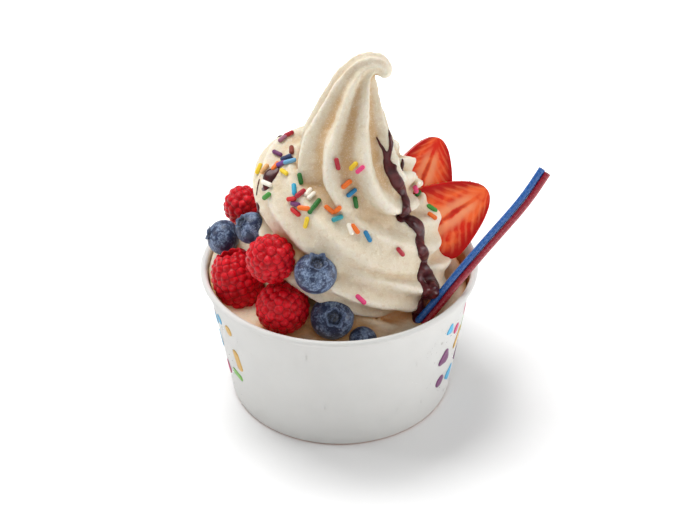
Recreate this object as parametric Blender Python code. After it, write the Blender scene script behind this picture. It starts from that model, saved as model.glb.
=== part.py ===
"""A paper cup of soft-serve frozen yogurt with berries, two strawberry slices and two stirring straws.

Sizes are in millimetres and are multiplied by MM. All pieces are modelled about the cup's own axis, with the
table at height 0. An empty then carries them, so that the origin is under the middle of the whole.
"""

import math

import bmesh
import bpy
from mathutils import Vector

MM = 0.001
GAP = 0.35                     # clearance between pieces that touch
CUP_AXIS = Vector((-12.5, 0.0, 0.0))

# ---- cup
RIM_RADIUS = 56.0              # outside of the rolled rim
RIM_ROLL = 1.3                 # radius of the roll itself
FOOT_RADIUS = 45.8
CUP_HEIGHT = 58.8
PAPER = 0.6
FOOT_FOLD = 7.2                # height of the doubled paper at the foot
BASE_PAPER = 0.7
FOLD_THICKNESS = 1.4           # doubled paper at the foot
ROLL_STEP = 35                 # degrees between the points of the rolled rim
CUP_SIDES = 48

# ---- frozen yogurt in the cup
FILL_LEVEL = 47.5
FILL_WALL_GAP = 0.9
FILL_SIDES = 64
FILL_CROWN = 5.0               # rise from the wall to the middle
FILL_RIPPLES = ((0.6, 3, 0.4), (0.4, 7, 0.0))                   # height, number round the cup, shift
EDGE_DROP = 1.4                # the yogurt curls down where it meets the wall
FILL_FLOOR_RADII = (8.0, 30.0)
FILL_TOP_INSETS = (0.0, 1.2, 5.0, 10.0, 16.0, 30.0, 44.0)
MOUND_HEIGHT = 9.0             # how much higher it stands under the berries on the left
MOUND_BEARING = math.radians(176)
MOUND_SPREAD = math.radians(46)
SHELF_SPOT = (-39.0, 12.0)     # a second rise at the back left, under the topmost berries
SHELF_HEIGHT = 10.0
SHELF_SPREAD = 12.0
EDGE_BELOW_RIM = 2.5           # the yogurt never stands higher than this at the wall

# ---- swirl: a fluted rope laid in rising turns, clockwise from above, then drawn up to a hooked tip
SWIRL_AXIS = Vector((5.0, 0.0, 0.0))
SWIRL_LEAN = 0.16              # each turn is this much lower per millimetre to the right
FLUTES = 8
FLUTE_POWER = 1.5
# turns laid, depth of the flutes as a share of the rope's half width
FLUTE_DEPTHS = [
    (-1.20, 0.24),
    (0.00, 0.20),
    (0.50, 0.24),
    (0.85, 0.13),
    (1.20, 0.13),
    (1.60, 0.24),
    (1.78, 0.27),
]
# turns laid, height, distance of the rope from the swirl's axis, half width, half height, turn of the flutes
LAID_ROPE = [
    (-1.20, 41.0, 24.0, 14.0, 13.0, -726),
    (-1.00, 43.0, 25.5, 14.5, 13.0, -657),
    (-0.50, 54.0, 26.5, 15.0, 13.2, -483),
    (-0.12, 64.0, 25.5, 15.0, 13.2, -352),
    (0.00, 67.5, 26.0, 15.0, 13.2, -310),
    (0.25, 73.0, 23.5, 15.0, 13.2, -235),
    (0.50, 76.0, 22.0, 15.0, 13.2, -150),
    (0.85, 77.6, 21.5, 15.2, 14.4, -35),
    (1.00, 81.6, 21.5, 15.4, 15.0, 12),
    (1.25, 93.5, 22.3, 15.8, 14.8, 95),
    (1.50, 95.0, 16.5, 15.8, 14.2, 180),
    (1.78, 95.0, 11.0, 17.0, 16.0, 296),
]
# x, y, height, half width, turn of the flutes
DRAWN_TIP = [
    (11.5, -8.0, 96.0, 18.8, 302),
    (7.0, -8.5, 101.5, 20.3, 306),
    (4.2, -7.0, 108.5, 21.0, 307),
    (3.8, -5.5, 116.0, 19.0, 307),
    (4.6, -4.0, 123.5, 16.0, 308),
    (5.6, -3.5, 131.0, 12.6, 311),
    (7.0, -3.0, 138.8, 9.6, 316),
    (9.2, -3.0, 145.0, 6.8, 321),
    (12.3, -3.0, 147.6, 5.0, 323),
    (15.8, -3.0, 147.2, 4.1, 323),
    (17.4, -3.0, 145.2, 3.6, 323),
]
RINGS_A_TURN = 36
RINGS_A_TIP_STEP = 6
TIP_END_RINGS = 4
TIP_END_OPEN = 0.2             # the last of them stops this share of a ring short of a point
TIP_OVERLAP = 8                # the drawn tip grows out of the rope this many rings before its end
RING_POINTS = 48
YOGURT_VOXEL = 1.5
YOGURT_TRIANGLES = 2540

# ---- berries: centre, half width, half length, direction from the stalk end to the far end, hollow
RASPBERRIES = [
    ("raspberry_1", (-22.2, -34.0, 60.2), 10.1, 10.5, (-0.10, -0.83, 0.50), False),
    ("raspberry_2", (-25.9, -30.0, 80.2), 9.2, 9.8, (0.05, -0.60, 0.80), False),
    ("raspberry_3", (-39.7, -15.0, 58.8), 9.7, 13.6, (0.27, -0.31, -0.91), True),
    ("raspberry_4", (-38.9, 19.5, 73.2), 8.1, 8.7, (-0.20, -0.45, 0.87), False),
]
RASPBERRY_AROUND = 18          # points round one row, two for each drupelet
RASPBERRY_ROWS = 11
DRUPELET_RISE = 0.07           # bumps, as a share of the berry's radius
RASPBERRY_TAPER = 0.10
RASPBERRY_ENDS = (0.14, 0.94)  # first and last row, as shares of the way from end to end
HOLLOW_WIDTH = 0.40
HOLLOW_STEPS = ((0.80, 0.95), (0.35, 0.80), (0.05, 0.35))      # depth and width of its lip, wall and floor

# centre, radius and the direction of the crown
BLUEBERRIES = [
    ("blueberry_1", (-3.0, -37.0, 57.0), 8.4, (0.18, -0.73, 0.66)),
    ("blueberry_2", (-9.0, -36.0, 76.8), 8.1, (0.14, -0.37, 0.92)),
    ("blueberry_3", (8.6, -40.0, 47.9), 5.7, (0.45, 0.50, -0.74)),
    ("blueberry_4", (-46.0, 2.0, 69.2), 7.1, (-0.90, -0.11, 0.38)),
    ("blueberry_5", (-34.4, -6.0, 78.5), 6.4, (-0.66, -0.25, 0.71)),
]
BLUEBERRY_AROUND = 15
BLUEBERRY_FLATTENING = 0.9
BLUEBERRY_LATITUDES = (162, 134, 106, 79, 53, 31)               # degrees from the crown
CROWN_STEPS = ((0.36, 0.95), (0.24, 0.79), (0.08, 0.73))        # width and height of its edge, wall, floor
CROWN_POINTS = 5
CROWN_LIFT = 0.07
CROWN_SPREAD = 0.18

POCKET_AROUND = 14
POCKET_ROWS = 8
POCKET_EASE = 1.14             # pockets follow the berry's tallest bumps
POCKET_EASE_BLUE = 1.04        # blueberries are smooth and a little flat
POCKET_END = 0.35              # how far the first row stands from the end, in rows

# ---- strawberry slices: rounded point, direction to the leaf end, direction across, length, width
STRAWBERRY_SLICES = [
    ("strawberry_slice_1", (40.6, 29.1, 98.2), (-0.357, -0.477, -0.803), (0.924, -0.051, -0.380), 30.0, 29.5),
    ("strawberry_slice_2", (59.9, 15.0, 81.6), (-0.841, -0.349, -0.412), (0.522, -0.328, -0.787), 32.0, 33.5),
]
SLICE_THICKNESS = 4.4
SLICE_POINTS = 13              # points along each side
SLICE_SHOULDER = 9             # higher is squarer at the leaf end
SLICE_FULLNESS = 1.13
SLICE_NOTCH = 0.97
SLICE_EDGE = ((-1.0, 0.93), (-0.55, 1.0), (0.55, 1.0), (1.0, 0.93))    # share of half thickness, and size
SLICE_MIDDLE = 0.55

# ---- straws: points along the middle of the pair, then its side-by-side direction
STRAW_RADIUS = 1.3
STRAW_BORE = 1.02
STRAW_EASE = 0.1               # more room round a straw, for its flat sides
STRAW_ROUTE = [
    (24.5, -31.5, 38.0),
    (31.0, -28.9, 47.0),
    (36.5, -26.8, 53.5),
    (44.9, -23.4, 63.8),
    (56.4, -18.7, 76.8),
    (67.8, -14.1, 89.2),
    (73.5, -11.8, 96.4),
    (78.8, -9.5, 104.5),
]
STRAW_POINTS = 12
STRAW_SIDES = 8
STRAW_PAIR_ACROSS = Vector((-0.76, 0.36, 0.54))


def clear_scene():
    for old in list(bpy.data.objects):
        bpy.data.objects.remove(old, do_unlink=True)


def material(name, colour, roughness, metallic=0.0):
    made = bpy.data.materials.new(name)
    made.use_nodes = True
    shader = made.node_tree.nodes["Principled BSDF"]
    shader.inputs["Base Color"].default_value = (*colour, 1.0)
    shader.inputs["Roughness"].default_value = roughness
    shader.inputs["Metallic"].default_value = metallic
    return made


def object_from(name, points, faces, finish=None):
    """One object of points in millimetres, with its faces turned outwards."""
    mesh = bpy.data.meshes.new(name)
    mesh.from_pydata([Vector(p) * MM for p in points], [], faces)
    shell = bmesh.new()
    shell.from_mesh(mesh)
    bmesh.ops.recalc_face_normals(shell, faces=shell.faces)
    shell.to_mesh(mesh)
    shell.free()
    mesh.shade_smooth()
    made = bpy.data.objects.new(name, mesh)
    bpy.context.scene.collection.objects.link(made)
    if finish:
        mesh.materials.append(finish)
    return made


def lofted(name, rings, finish=None, closed_ends=True):
    """Rings of equally many points joined side by side: a tube with capped ends, or a loop of rings."""
    count = len(rings[0])
    points = [p for ring in rings for p in ring]
    faces = []
    for i in range(len(rings) if not closed_ends else len(rings) - 1):
        for k in range(count):
            after = (k + 1) % count
            upper = (i + 1) % len(rings)
            faces.append((i * count + k, i * count + after, upper * count + after, upper * count + k))
    if closed_ends:
        faces.append(tuple(range(count)))
        faces.append(tuple((len(rings) - 1) * count + k for k in range(count)))
    return object_from(name, points, faces, finish)


def circle(radius, height, sides):
    """Points round the vertical axis."""
    turns = [2 * math.pi * k / sides for k in range(sides)]
    return [Vector((radius * math.cos(turn), radius * math.sin(turn), height)) for turn in turns]


def turned(name, profile, sides, finish=None):
    """A closed outline of (radius, height) turned about the cup's axis."""
    rings = []
    for k in range(sides):
        turn = 2 * math.pi * k / sides
        rings.append([Vector((r * math.cos(turn), r * math.sin(turn), z)) for r, z in profile])
    return lofted(name, rings, finish, closed_ends=False)


def eased(rows, at, column):
    """The value of one column where the first column is at, on a smooth curve through the rows."""
    keys = [row[0] for row in rows]
    values = [row[column] for row in rows]
    last = len(rows) - 1
    if at >= keys[last]:
        return values[last]
    i = max([k for k in range(last) if keys[k] <= at], default=0)

    def slope(k):
        low, high = max(k - 1, 0), min(k + 1, last)
        return (values[high] - values[low]) / (keys[high] - keys[low])

    span = keys[i + 1] - keys[i]
    t = (at - keys[i]) / span
    return (
        (2 * t**3 - 3 * t**2 + 1) * values[i]
        + (t**3 - 2 * t**2 + t) * span * slope(i)
        + (3 * t**2 - 2 * t**3) * values[i + 1]
        + (t**3 - t**2) * span * slope(i + 1)
    )


def applied(thing):
    """The object with its modifiers made part of its mesh."""
    bpy.context.view_layer.update()
    evaluated = thing.evaluated_get(bpy.context.evaluated_depsgraph_get())
    mesh = bpy.data.meshes.new_from_object(evaluated)
    thing.modifiers.clear()
    thing.data = mesh
    return thing


# ---------------------------------------------------------------- cup


def wall_radius(height):
    """Inside of the cup's wall."""
    top = CUP_HEIGHT - RIM_ROLL
    foot, mouth = FOOT_RADIUS - PAPER, RIM_RADIUS - 2 * RIM_ROLL
    return foot + (mouth - foot) * height / top


def cup_wall(finish):
    top = CUP_HEIGHT - RIM_ROLL
    roll_middle = RIM_RADIUS - RIM_ROLL
    profile = [(wall_radius(0) + PAPER, 0.0)]
    for degrees in range(-130, 180, ROLL_STEP):
        turn = math.radians(degrees)
        profile.append((roll_middle + RIM_ROLL * math.cos(turn), top + RIM_ROLL * math.sin(turn)))
    profile.append((wall_radius(top), top))
    profile.append((wall_radius(FOOT_FOLD), FOOT_FOLD))
    profile.append((wall_radius(FOOT_FOLD) + PAPER - FOLD_THICKNESS, FOOT_FOLD))
    profile.append((wall_radius(0) + PAPER - FOLD_THICKNESS, 0.0))
    return turned("cup_wall", profile, CUP_SIDES, finish)


def cup_base(finish):
    under = FOOT_FOLD + GAP
    radius = wall_radius(under) - GAP
    rings = [circle(radius, height, CUP_SIDES) for height in (under, under + BASE_PAPER)]
    return lofted("cup_base", rings, finish)


# ---------------------------------------------------------------- frozen yogurt


def fill_height(radius, bearing):
    """Height of the yogurt round the swirl: low at the wall, with mounds that the left berries sit on."""
    away = math.remainder(bearing - MOUND_BEARING, 2 * math.pi) / MOUND_SPREAD
    mound = MOUND_HEIGHT * math.exp(-away * away)
    spot = (radius * math.cos(bearing), radius * math.sin(bearing))
    shelf = SHELF_HEIGHT * math.exp(-((math.dist(spot, SHELF_SPOT) / SHELF_SPREAD) ** 2))
    ripple = sum(height * math.sin(number * bearing + shift) for height, number, shift in FILL_RIPPLES)
    inset = wall_radius(FILL_LEVEL) - radius
    crown = FILL_CROWN * inset / wall_radius(FILL_LEVEL)
    return min(FILL_LEVEL + mound + shelf + ripple + crown, CUP_HEIGHT - EDGE_BELOW_RIM + inset)


def fill_body():
    floor = FOOT_FOLD + GAP + BASE_PAPER + FILL_WALL_GAP
    floor_radii = (*FILL_FLOOR_RADII, wall_radius(floor) - FILL_WALL_GAP)
    rings = [circle(radius, floor, FILL_SIDES) for radius in floor_radii]
    for inset in FILL_TOP_INSETS:
        drop = EDGE_DROP if inset == 0.0 else 0.0
        ring = []
        for k in range(FILL_SIDES):
            bearing = 2 * math.pi * k / FILL_SIDES
            height = fill_height(wall_radius(FILL_LEVEL) - inset, bearing) - drop
            radius = wall_radius(height) - FILL_WALL_GAP - inset
            ring.append(Vector((radius * math.cos(bearing), radius * math.sin(bearing), height)))
        rings.append(ring)
    return lofted("fill_guide", rings)


def rope_stations():
    """Middle, half width, half height, flute turn and flute depth all along, and how many are laid."""
    stations = []
    first, last = LAID_ROPE[0][0], LAID_ROPE[-1][0]
    steps = round((last - first) * RINGS_A_TURN)
    for i in range(steps + 1):
        turns = first + (last - first) * i / steps
        bearing = -math.pi / 2 - 2 * math.pi * turns
        height, away, wide, high, flute = (eased(LAID_ROPE, turns, c) for c in range(1, 6))
        side = away * math.cos(bearing)
        middle = SWIRL_AXIS + Vector((side, away * math.sin(bearing), height - SWIRL_LEAN * side))
        stations.append((*middle, wide, high, flute, eased(FLUTE_DEPTHS, turns, 1)))
    laid = len(stations)
    drawn = [stations[-TIP_OVERLAP], stations[-1]]
    drawn += [(x, y, z, wide, wide, flute, FLUTE_DEPTHS[-1][1]) for x, y, z, wide, flute in DRAWN_TIP]
    rows = [(number, *row) for number, row in enumerate(drawn)]
    for step in range(1, (len(rows) - 2) * RINGS_A_TIP_STEP + 1):
        at = 1 + step / RINGS_A_TIP_STEP
        stations.append(tuple(eased(rows, at, c) for c in range(1, 8)))
    return stations, laid


def rope_body():
    stations, laid = rope_stations()
    middles = [Vector(row[:3]) for row in stations]
    rings = []
    ahead = upward = None
    for i, (_, _, _, wide, high, flute, depth) in enumerate(stations):
        before, after = middles[max(i - 1, 0)], middles[min(i + 1, len(middles) - 1)]
        heading = (after - before).normalized()
        if i < laid:
            upward = Vector((0, 0, 1))
        else:
            upward = ahead.rotation_difference(heading) @ upward
        upward = (upward - heading * upward.dot(heading)).normalized()
        ahead = heading
        outward = upward.cross(heading).normalized()
        rings.append((middles[i], outward, upward, wide, high, flute, depth))
    middle, outward, upward, wide, high, flute, depth = rings[-1]
    for step in range(1, TIP_END_RINGS + 1):                     # round end of the tip
        bend = step / (TIP_END_RINGS + TIP_END_OPEN) * math.pi / 2
        narrow = math.cos(bend)
        rings.append((middle + heading * wide * math.sin(bend), outward, upward,
                      wide * narrow, high * narrow, flute, depth))
    shaped = []
    for middle, outward, upward, wide, high, flute, depth in rings:
        ring = []
        for k in range(RING_POINTS):
            angle = 2 * math.pi * k / RING_POINTS
            crest = (1 + math.cos(FLUTES * (angle - math.radians(flute)))) / 2
            reach = 1 - depth * (1 - crest**FLUTE_POWER)
            sideways = outward * (wide * reach * math.cos(angle))
            ring.append(middle + sideways + upward * (high * reach * math.sin(angle)))
        shaped.append(ring)
    return lofted("rope_guide", shaped)


def yogurt(cutters, finish):
    """Fill and swirl as one skin, with a pocket for everything that is pressed into it."""
    rope, fill = rope_body(), fill_body()
    joined = bmesh.new()
    joined.from_mesh(rope.data)
    joined.from_mesh(fill.data)
    mesh = bpy.data.meshes.new("yogurt")
    joined.to_mesh(mesh)
    joined.free()
    for guide in (rope, fill):
        bpy.data.objects.remove(guide)
    made = bpy.data.objects.new("yogurt", mesh)
    bpy.context.scene.collection.objects.link(made)
    skin = made.modifiers.new("skin", "REMESH")
    skin.mode = "VOXEL"
    skin.voxel_size = YOGURT_VOXEL * MM
    applied(made)
    made.data.calc_loop_triangles()
    thin = made.modifiers.new("thin", "DECIMATE")
    thin.ratio = YOGURT_TRIANGLES / len(made.data.loop_triangles)
    applied(made)
    for cutter in cutters:
        cut = made.modifiers.new("pocket", "BOOLEAN")
        cut.operation = "DIFFERENCE"
        cut.solver = "EXACT"
        cut.object = cutter
        applied(made)
        bpy.data.objects.remove(cutter)
    made.data.materials.clear()
    made.data.materials.append(finish)
    return made


# ---------------------------------------------------------------- berries


def placed(points, centre, direction):
    """Points about the origin, their +Z turned to the direction and moved to the centre."""
    turn = Vector((0, 0, 1)).rotation_difference(Vector(direction).normalized())
    return [turn @ Vector(p) + Vector(centre) for p in points]


def raspberry(name, centre, half_width, half_length, direction, hollow, finish):
    """Rows of staggered bumps on an egg shape, with a cup-shaped hollow where it left its stalk."""
    rings = []
    if hollow:
        for deep, wide in reversed(HOLLOW_STEPS):
            rings.append(circle(HOLLOW_WIDTH * half_width * wide, -half_length * deep, RASPBERRY_AROUND))
    first, last = RASPBERRY_ENDS
    for row in range(RASPBERRY_ROWS):
        polar = math.pi * (first + (last - first) * row / (RASPBERRY_ROWS - 1))
        taper = 1 + RASPBERRY_TAPER * math.cos(polar)
        ring = []
        for k in range(RASPBERRY_AROUND):
            bump = 1 if (k + row) % 2 == 0 else -1
            reach = 1 + DRUPELET_RISE * bump
            angle = 2 * math.pi * k / RASPBERRY_AROUND
            flat = half_width * math.sin(polar) * reach * taper
            height = -half_length * math.cos(polar) * reach
            ring.append((flat * math.cos(angle), flat * math.sin(angle), height))
        rings.append(ring)
    return lofted(name, [placed(ring, centre, direction) for ring in rings], finish)


def blueberry(name, centre, radius, direction, finish):
    """A slightly flattened ball whose crown stands up in five points round a shallow dish."""
    rings = []
    for latitude in BLUEBERRY_LATITUDES:
        polar = math.radians(latitude)
        height = BLUEBERRY_FLATTENING * radius * math.cos(polar)
        rings.append(circle(radius * math.sin(polar), height, BLUEBERRY_AROUND))
    edge = CROWN_STEPS[0]
    for step in CROWN_STEPS:
        wide, high = step
        ring = []
        for k in range(BLUEBERRY_AROUND):
            turn = 2 * math.pi * k / BLUEBERRY_AROUND
            point = 0.5 + 0.5 * math.cos(CROWN_POINTS * turn) if step == edge else 0.0
            spread = radius * wide * (1 + CROWN_SPREAD * point)
            height = BLUEBERRY_FLATTENING * radius * (high + CROWN_LIFT * point)
            ring.append((spread * math.cos(turn), spread * math.sin(turn), height))
        rings.append(ring)
    return lofted(name, [placed(ring, centre, direction) for ring in rings], finish)


def pocket(centre, half_width, half_length, direction):
    """An egg-shaped cutter that clears a berry on all sides."""
    rings = []
    for row in range(POCKET_ROWS):
        polar = math.pi * (row + POCKET_END) / (POCKET_ROWS - 1 + 2 * POCKET_END)
        rings.append(circle(half_width * math.sin(polar), -half_length * math.cos(polar), POCKET_AROUND))
    return lofted("pocket_cutter", [placed(ring, centre, direction) for ring in rings])


# ---------------------------------------------------------------- strawberry slices


def slice_outline(length, width):
    """Outline of a strawberry cut lengthwise, its rounded point at the origin and its leaf end at +Y."""
    side = []
    for k in range(1, SLICE_POINTS):
        share = (1 - math.cos(math.pi * k / SLICE_POINTS)) / 2
        full = SLICE_FULLNESS * math.sqrt(share * (1 - share**SLICE_SHOULDER))
        side.append((0.5 * width * full, length * share))
    left = [(-x, y) for x, y in reversed(side)]
    return [(0.0, 0.0)] + side + [(0.0, SLICE_NOTCH * length)] + left


def slice_body(name, tip, along, across, length, width, finish=None, grow=0.0):
    """Two flat cut faces and a rounded skin edge between them, grown all round for a cutter."""
    along = Vector(along).normalized()
    across = Vector(across).normalized()
    across = (across - along * across.dot(along)).normalized()
    through = across.cross(along)
    base = Vector(tip) - along * grow
    outline = slice_outline(length + 2 * grow, width + 2 * grow)
    middle = (length + 2 * grow) * SLICE_MIDDLE
    half = SLICE_THICKNESS / 2 + grow
    rings = []
    for shift, size in SLICE_EDGE:
        centre = base + through * (shift * half) + along * middle
        rings.append([centre + across * (x * size) + along * ((y - middle) * size) for x, y in outline])
    return lofted(name, rings, finish)


# ---------------------------------------------------------------- straws


def straw_points(offset):
    """Points along one straw: the pair's route, moved sideways."""
    rows = [(number, *point) for number, point in enumerate(STRAW_ROUTE)]
    across = STRAW_PAIR_ACROSS.normalized() * offset
    last = len(STRAW_ROUTE) - 1
    points = []
    for k in range(STRAW_POINTS):
        at = last * k / (STRAW_POINTS - 1)
        points.append(Vector([eased(rows, at, c) for c in (1, 2, 3)]) + across)
    return points


def straw_rings(points, radius):
    rings = []
    for i, point in enumerate(points):
        heading = (points[min(i + 1, len(points) - 1)] - points[max(i - 1, 0)]).normalized()
        side = heading.cross(Vector((0, 0, 1))).normalized()
        over = side.cross(heading)
        flat = circle(radius, 0.0, STRAW_SIDES)
        rings.append([point + side * spot.x + over * spot.y for spot in flat])
    return rings


def straw(name, offset, finish):
    """An open tube: out along the outside and back along the bore."""
    points = straw_points(offset)
    rings = straw_rings(points, STRAW_RADIUS) + straw_rings(points, STRAW_BORE)[::-1]
    return lofted(name, rings, finish, closed_ends=False)


def straw_cutter(offset):
    points = straw_points(offset)
    points[0] += (points[0] - points[1]).normalized() * GAP * 2
    return lofted("straw_cutter", straw_rings(points, STRAW_RADIUS + GAP + STRAW_EASE))


# ---------------------------------------------------------------- the whole


def main():
    clear_scene()
    paper = material("white_paper", (0.86, 0.85, 0.83), 0.55)
    cream = material("frozen_yogurt", (0.84, 0.74, 0.58), 0.45)
    red = material("raspberry_red", (0.52, 0.015, 0.035), 0.35)
    blue = material("blueberry_skin", (0.035, 0.06, 0.14), 0.45)
    flesh = material("strawberry_flesh", (0.75, 0.06, 0.02), 0.35)
    straw_blue = material("blue_plastic", (0.02, 0.12, 0.45), 0.25)
    straw_red = material("red_plastic", (0.28, 0.01, 0.04), 0.25)

    pieces = [cup_wall(paper), cup_base(paper)]
    cutters = []
    for name, centre, half_width, half_length, direction, hollow in RASPBERRIES:
        pieces.append(raspberry(name, centre, half_width, half_length, direction, hollow, red))
        ease = POCKET_EASE
        cutters.append(pocket(centre, half_width * ease + GAP, half_length * ease + GAP, direction))
    for name, centre, radius, direction in BLUEBERRIES:
        pieces.append(blueberry(name, centre, radius, direction, blue))
        cutters.append(pocket(centre, radius * POCKET_EASE_BLUE + GAP, radius + GAP, direction))
    for name, *shape in STRAWBERRY_SLICES:
        pieces.append(slice_body(name, *shape, flesh))
        cutters.append(slice_body("slice_cutter", *shape, grow=GAP))
    apart = STRAW_RADIUS + GAP / 2
    for name, offset, finish in (("straw_blue", apart, straw_blue), ("straw_red", -apart, straw_red)):
        pieces.append(straw(name, offset, finish))
        cutters.append(straw_cutter(offset))
    pieces.append(yogurt(cutters, cream))

    carrier = bpy.data.objects.new("cup_axis", None)
    bpy.context.scene.collection.objects.link(carrier)
    carrier.location = CUP_AXIS * MM
    for piece in pieces:
        piece.parent = carrier


main()
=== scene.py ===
import math
import random

import bpy
import numpy as np
from mathutils import Matrix, Vector, noise
from mathutils.bvhtree import BVHTree


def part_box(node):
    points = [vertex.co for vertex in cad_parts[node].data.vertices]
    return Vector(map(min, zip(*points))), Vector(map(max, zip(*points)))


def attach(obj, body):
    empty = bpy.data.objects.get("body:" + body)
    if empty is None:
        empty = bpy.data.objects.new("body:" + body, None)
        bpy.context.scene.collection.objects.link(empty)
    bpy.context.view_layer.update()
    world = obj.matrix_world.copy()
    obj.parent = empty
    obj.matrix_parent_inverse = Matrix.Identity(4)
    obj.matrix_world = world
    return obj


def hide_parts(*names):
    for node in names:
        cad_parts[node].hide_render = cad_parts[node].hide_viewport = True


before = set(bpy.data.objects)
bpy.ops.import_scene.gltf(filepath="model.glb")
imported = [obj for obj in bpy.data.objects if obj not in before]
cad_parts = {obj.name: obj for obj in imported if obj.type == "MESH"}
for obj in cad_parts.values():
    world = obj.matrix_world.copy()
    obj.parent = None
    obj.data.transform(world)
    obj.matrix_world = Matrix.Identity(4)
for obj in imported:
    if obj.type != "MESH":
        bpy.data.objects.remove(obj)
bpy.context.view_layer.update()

# Lengths are in millimetres from the cup's own axis and the table, unless a note says otherwise.
mm = 0.001
wallLow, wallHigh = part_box("cup_wall")
cupAxis = Vector(((wallLow.x + wallHigh.x) / 2, (wallLow.y + wallHigh.y) / 2, 0.0))
rimRadius = (wallHigh.x - wallLow.x) / 2 / mm
cupHeight = wallHigh.z / mm


def place(point):
    # millimetres about the cup's axis to metres in the frame
    return cupAxis + Vector(point) * mm


def middleOf(node):
    low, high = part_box(node)
    return ((low + high) / 2 - cupAxis) / mm


def paint(red, green, blue):
    # screen colour, 0 to 255, to the linear colour that the shaders use
    steps = [c / 255 for c in (red, green, blue)]
    return (*[s / 12.92 if s <= 0.04045 else ((s + 0.055) / 1.055) ** 2.4 for s in steps], 1.0)


class Value:
    # the output of a node; arithmetic on it adds Math nodes
    def __init__(self, finish, socket):
        self.finish = finish
        self.socket = socket

    def maths(self, operation, first, second):
        return self.finish.node("Math", {"operation": operation}, {0: first, 1: second})

    def __add__(self, other):
        return self.maths("ADD", self, other)

    def __sub__(self, other):
        return self.maths("SUBTRACT", self, other)

    def __rsub__(self, other):
        return self.maths("SUBTRACT", other, self)

    def __mul__(self, other):
        return self.maths("MULTIPLY", self, other)

    def __truediv__(self, other):
        return self.maths("DIVIDE", self, other)

    def __pow__(self, other):
        return self.maths("POWER", self, other)

    def __neg__(self):
        return self.maths("MULTIPLY", self, -1.0)

    __radd__ = __add__
    __rmul__ = __mul__


class Finish:
    # a Principled material; constants go on the shader's own sockets
    def __init__(self, name, constants):
        self.material = bpy.data.materials.new(name)
        self.material.use_nodes = True
        self.tree = self.material.node_tree
        self.shader = self.tree.nodes["Principled BSDF"]
        for socket, value in constants.items():
            self.shader.inputs[socket].default_value = value

    def join(self, value, socket):
        if isinstance(value, Value):
            self.tree.links.new(value.socket, socket)
        else:
            socket.default_value = value

    def node(self, kind, settings=None, sockets=None, output=0):
        made = self.tree.nodes.new("ShaderNode" + kind)
        for setting, value in (settings or {}).items():
            if setting == "stops":
                ramp = made.color_ramp.elements
                while len(ramp) < len(value):
                    ramp.new(0.5)
                for element, (at, tint) in zip(ramp, value):
                    element.position = at
                    element.color = tint
            else:
                setattr(made, setting, value)
        for socket, value in (sockets or {}).items():
            self.join(value, made.inputs[socket])
        return Value(self, made.outputs[output])

    def where(self):
        return self.node("TexCoord", output="Object")

    def attribute(self, name, output="Fac"):
        return self.node("Attribute", {"attribute_name": name}, output=output)

    def cloud(self, size, detail=3.0, roughness=0.55, at=None):
        # noise whose blotches are about size millimetres across
        sockets = {"Vector": at or self.where(), "Scale": 1 / (size * mm), "Detail": detail, "Roughness": roughness}
        return self.node("TexNoise", sockets=sockets)

    def cells(self, size, at=None):
        sockets = {"Vector": at or self.where(), "Scale": 1 / (size * mm)}
        return self.node("TexVoronoi", sockets=sockets, output="Distance")

    def rise(self, value, low, high):
        # 0 below low, 1 above high, and smooth between them
        sockets = {"Value": value, "From Min": low, "From Max": high}
        return self.node("MapRange", {"interpolation_type": "SMOOTHSTEP"}, sockets)

    def mix(self, first, second, share):
        return self.node("Mix", {"data_type": "RGBA"}, {0: share, 6: first, 7: second}, output=2)

    def relief(self, height, depth, under=None):
        # a bump; depth in millimetres
        sockets = {"Height": height, "Distance": depth * mm, "Strength": 1.0}
        if under:
            sockets["Normal"] = under
        return self.node("Bump", sockets=sockets)

    def set(self, sockets):
        for socket, value in sockets.items():
            self.join(value, self.shader.inputs[socket])
        return self.material


def deselect():
    if bpy.context.object and bpy.context.object.mode != "OBJECT":
        bpy.ops.object.mode_set(mode="OBJECT")
    bpy.ops.object.select_all(action="DESELECT")


def useOnly(*pieces):
    deselect()
    for piece in pieces:
        piece.select_set(True)
    bpy.context.view_layer.objects.active = pieces[0]


def modify(piece, kind, **settings):
    # adds a modifier and applies it
    useOnly(piece)
    added = piece.modifiers.new(kind.lower(), kind)
    for setting, value in settings.items():
        setattr(added, setting, value)
    bpy.ops.object.modifier_apply(modifier=added.name)


def joined(name, pieces):
    useOnly(*pieces)
    bpy.ops.object.join()
    piece = bpy.context.object
    piece.name = name
    return piece


def points(piece):
    flat = np.empty(len(piece.data.vertices) * 3)
    piece.data.vertices.foreach_get("co", flat)
    return flat.reshape(-1, 3)


def normals(piece):
    flat = np.empty(len(piece.data.vertices) * 3)
    piece.data.vertex_normals.foreach_get("vector", flat)
    return flat.reshape(-1, 3)


def movePoints(piece, spots):
    piece.data.vertices.foreach_set("co", np.asarray(spots, float).ravel())
    piece.data.update()


def storeValues(piece, name, values):
    kind = "FLOAT" if np.ndim(values) == 1 else "FLOAT_VECTOR"
    made = piece.data.attributes.new(name, kind, "POINT")
    made.data.foreach_set("value" if kind == "FLOAT" else "vector", np.asarray(values, float).ravel())


def shared(piece, values, rounds):
    # each point's values averaged with its neighbours', again and again
    ends = np.empty(len(piece.data.edges) * 2, int)
    piece.data.edges.foreach_get("vertices", ends)
    near, far = np.concatenate([ends[::2], ends[1::2]]), np.concatenate([ends[1::2], ends[::2]])
    number = np.bincount(near, minlength=len(values)) + 1
    columns = list(np.array(values, float).reshape(len(values), -1).T)
    for _ in range(rounds):
        columns = [(column + np.bincount(near, column[far], len(column))) / number for column in columns]
    return np.array(columns).T.reshape(np.shape(values))


def standOut(piece, rounds):
    # millimetres that each point stands out from a smoothed copy of the surface
    spots = points(piece)
    return ((spots - shared(piece, spots, rounds)) * normals(piece)).sum(axis=1) / mm


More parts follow.
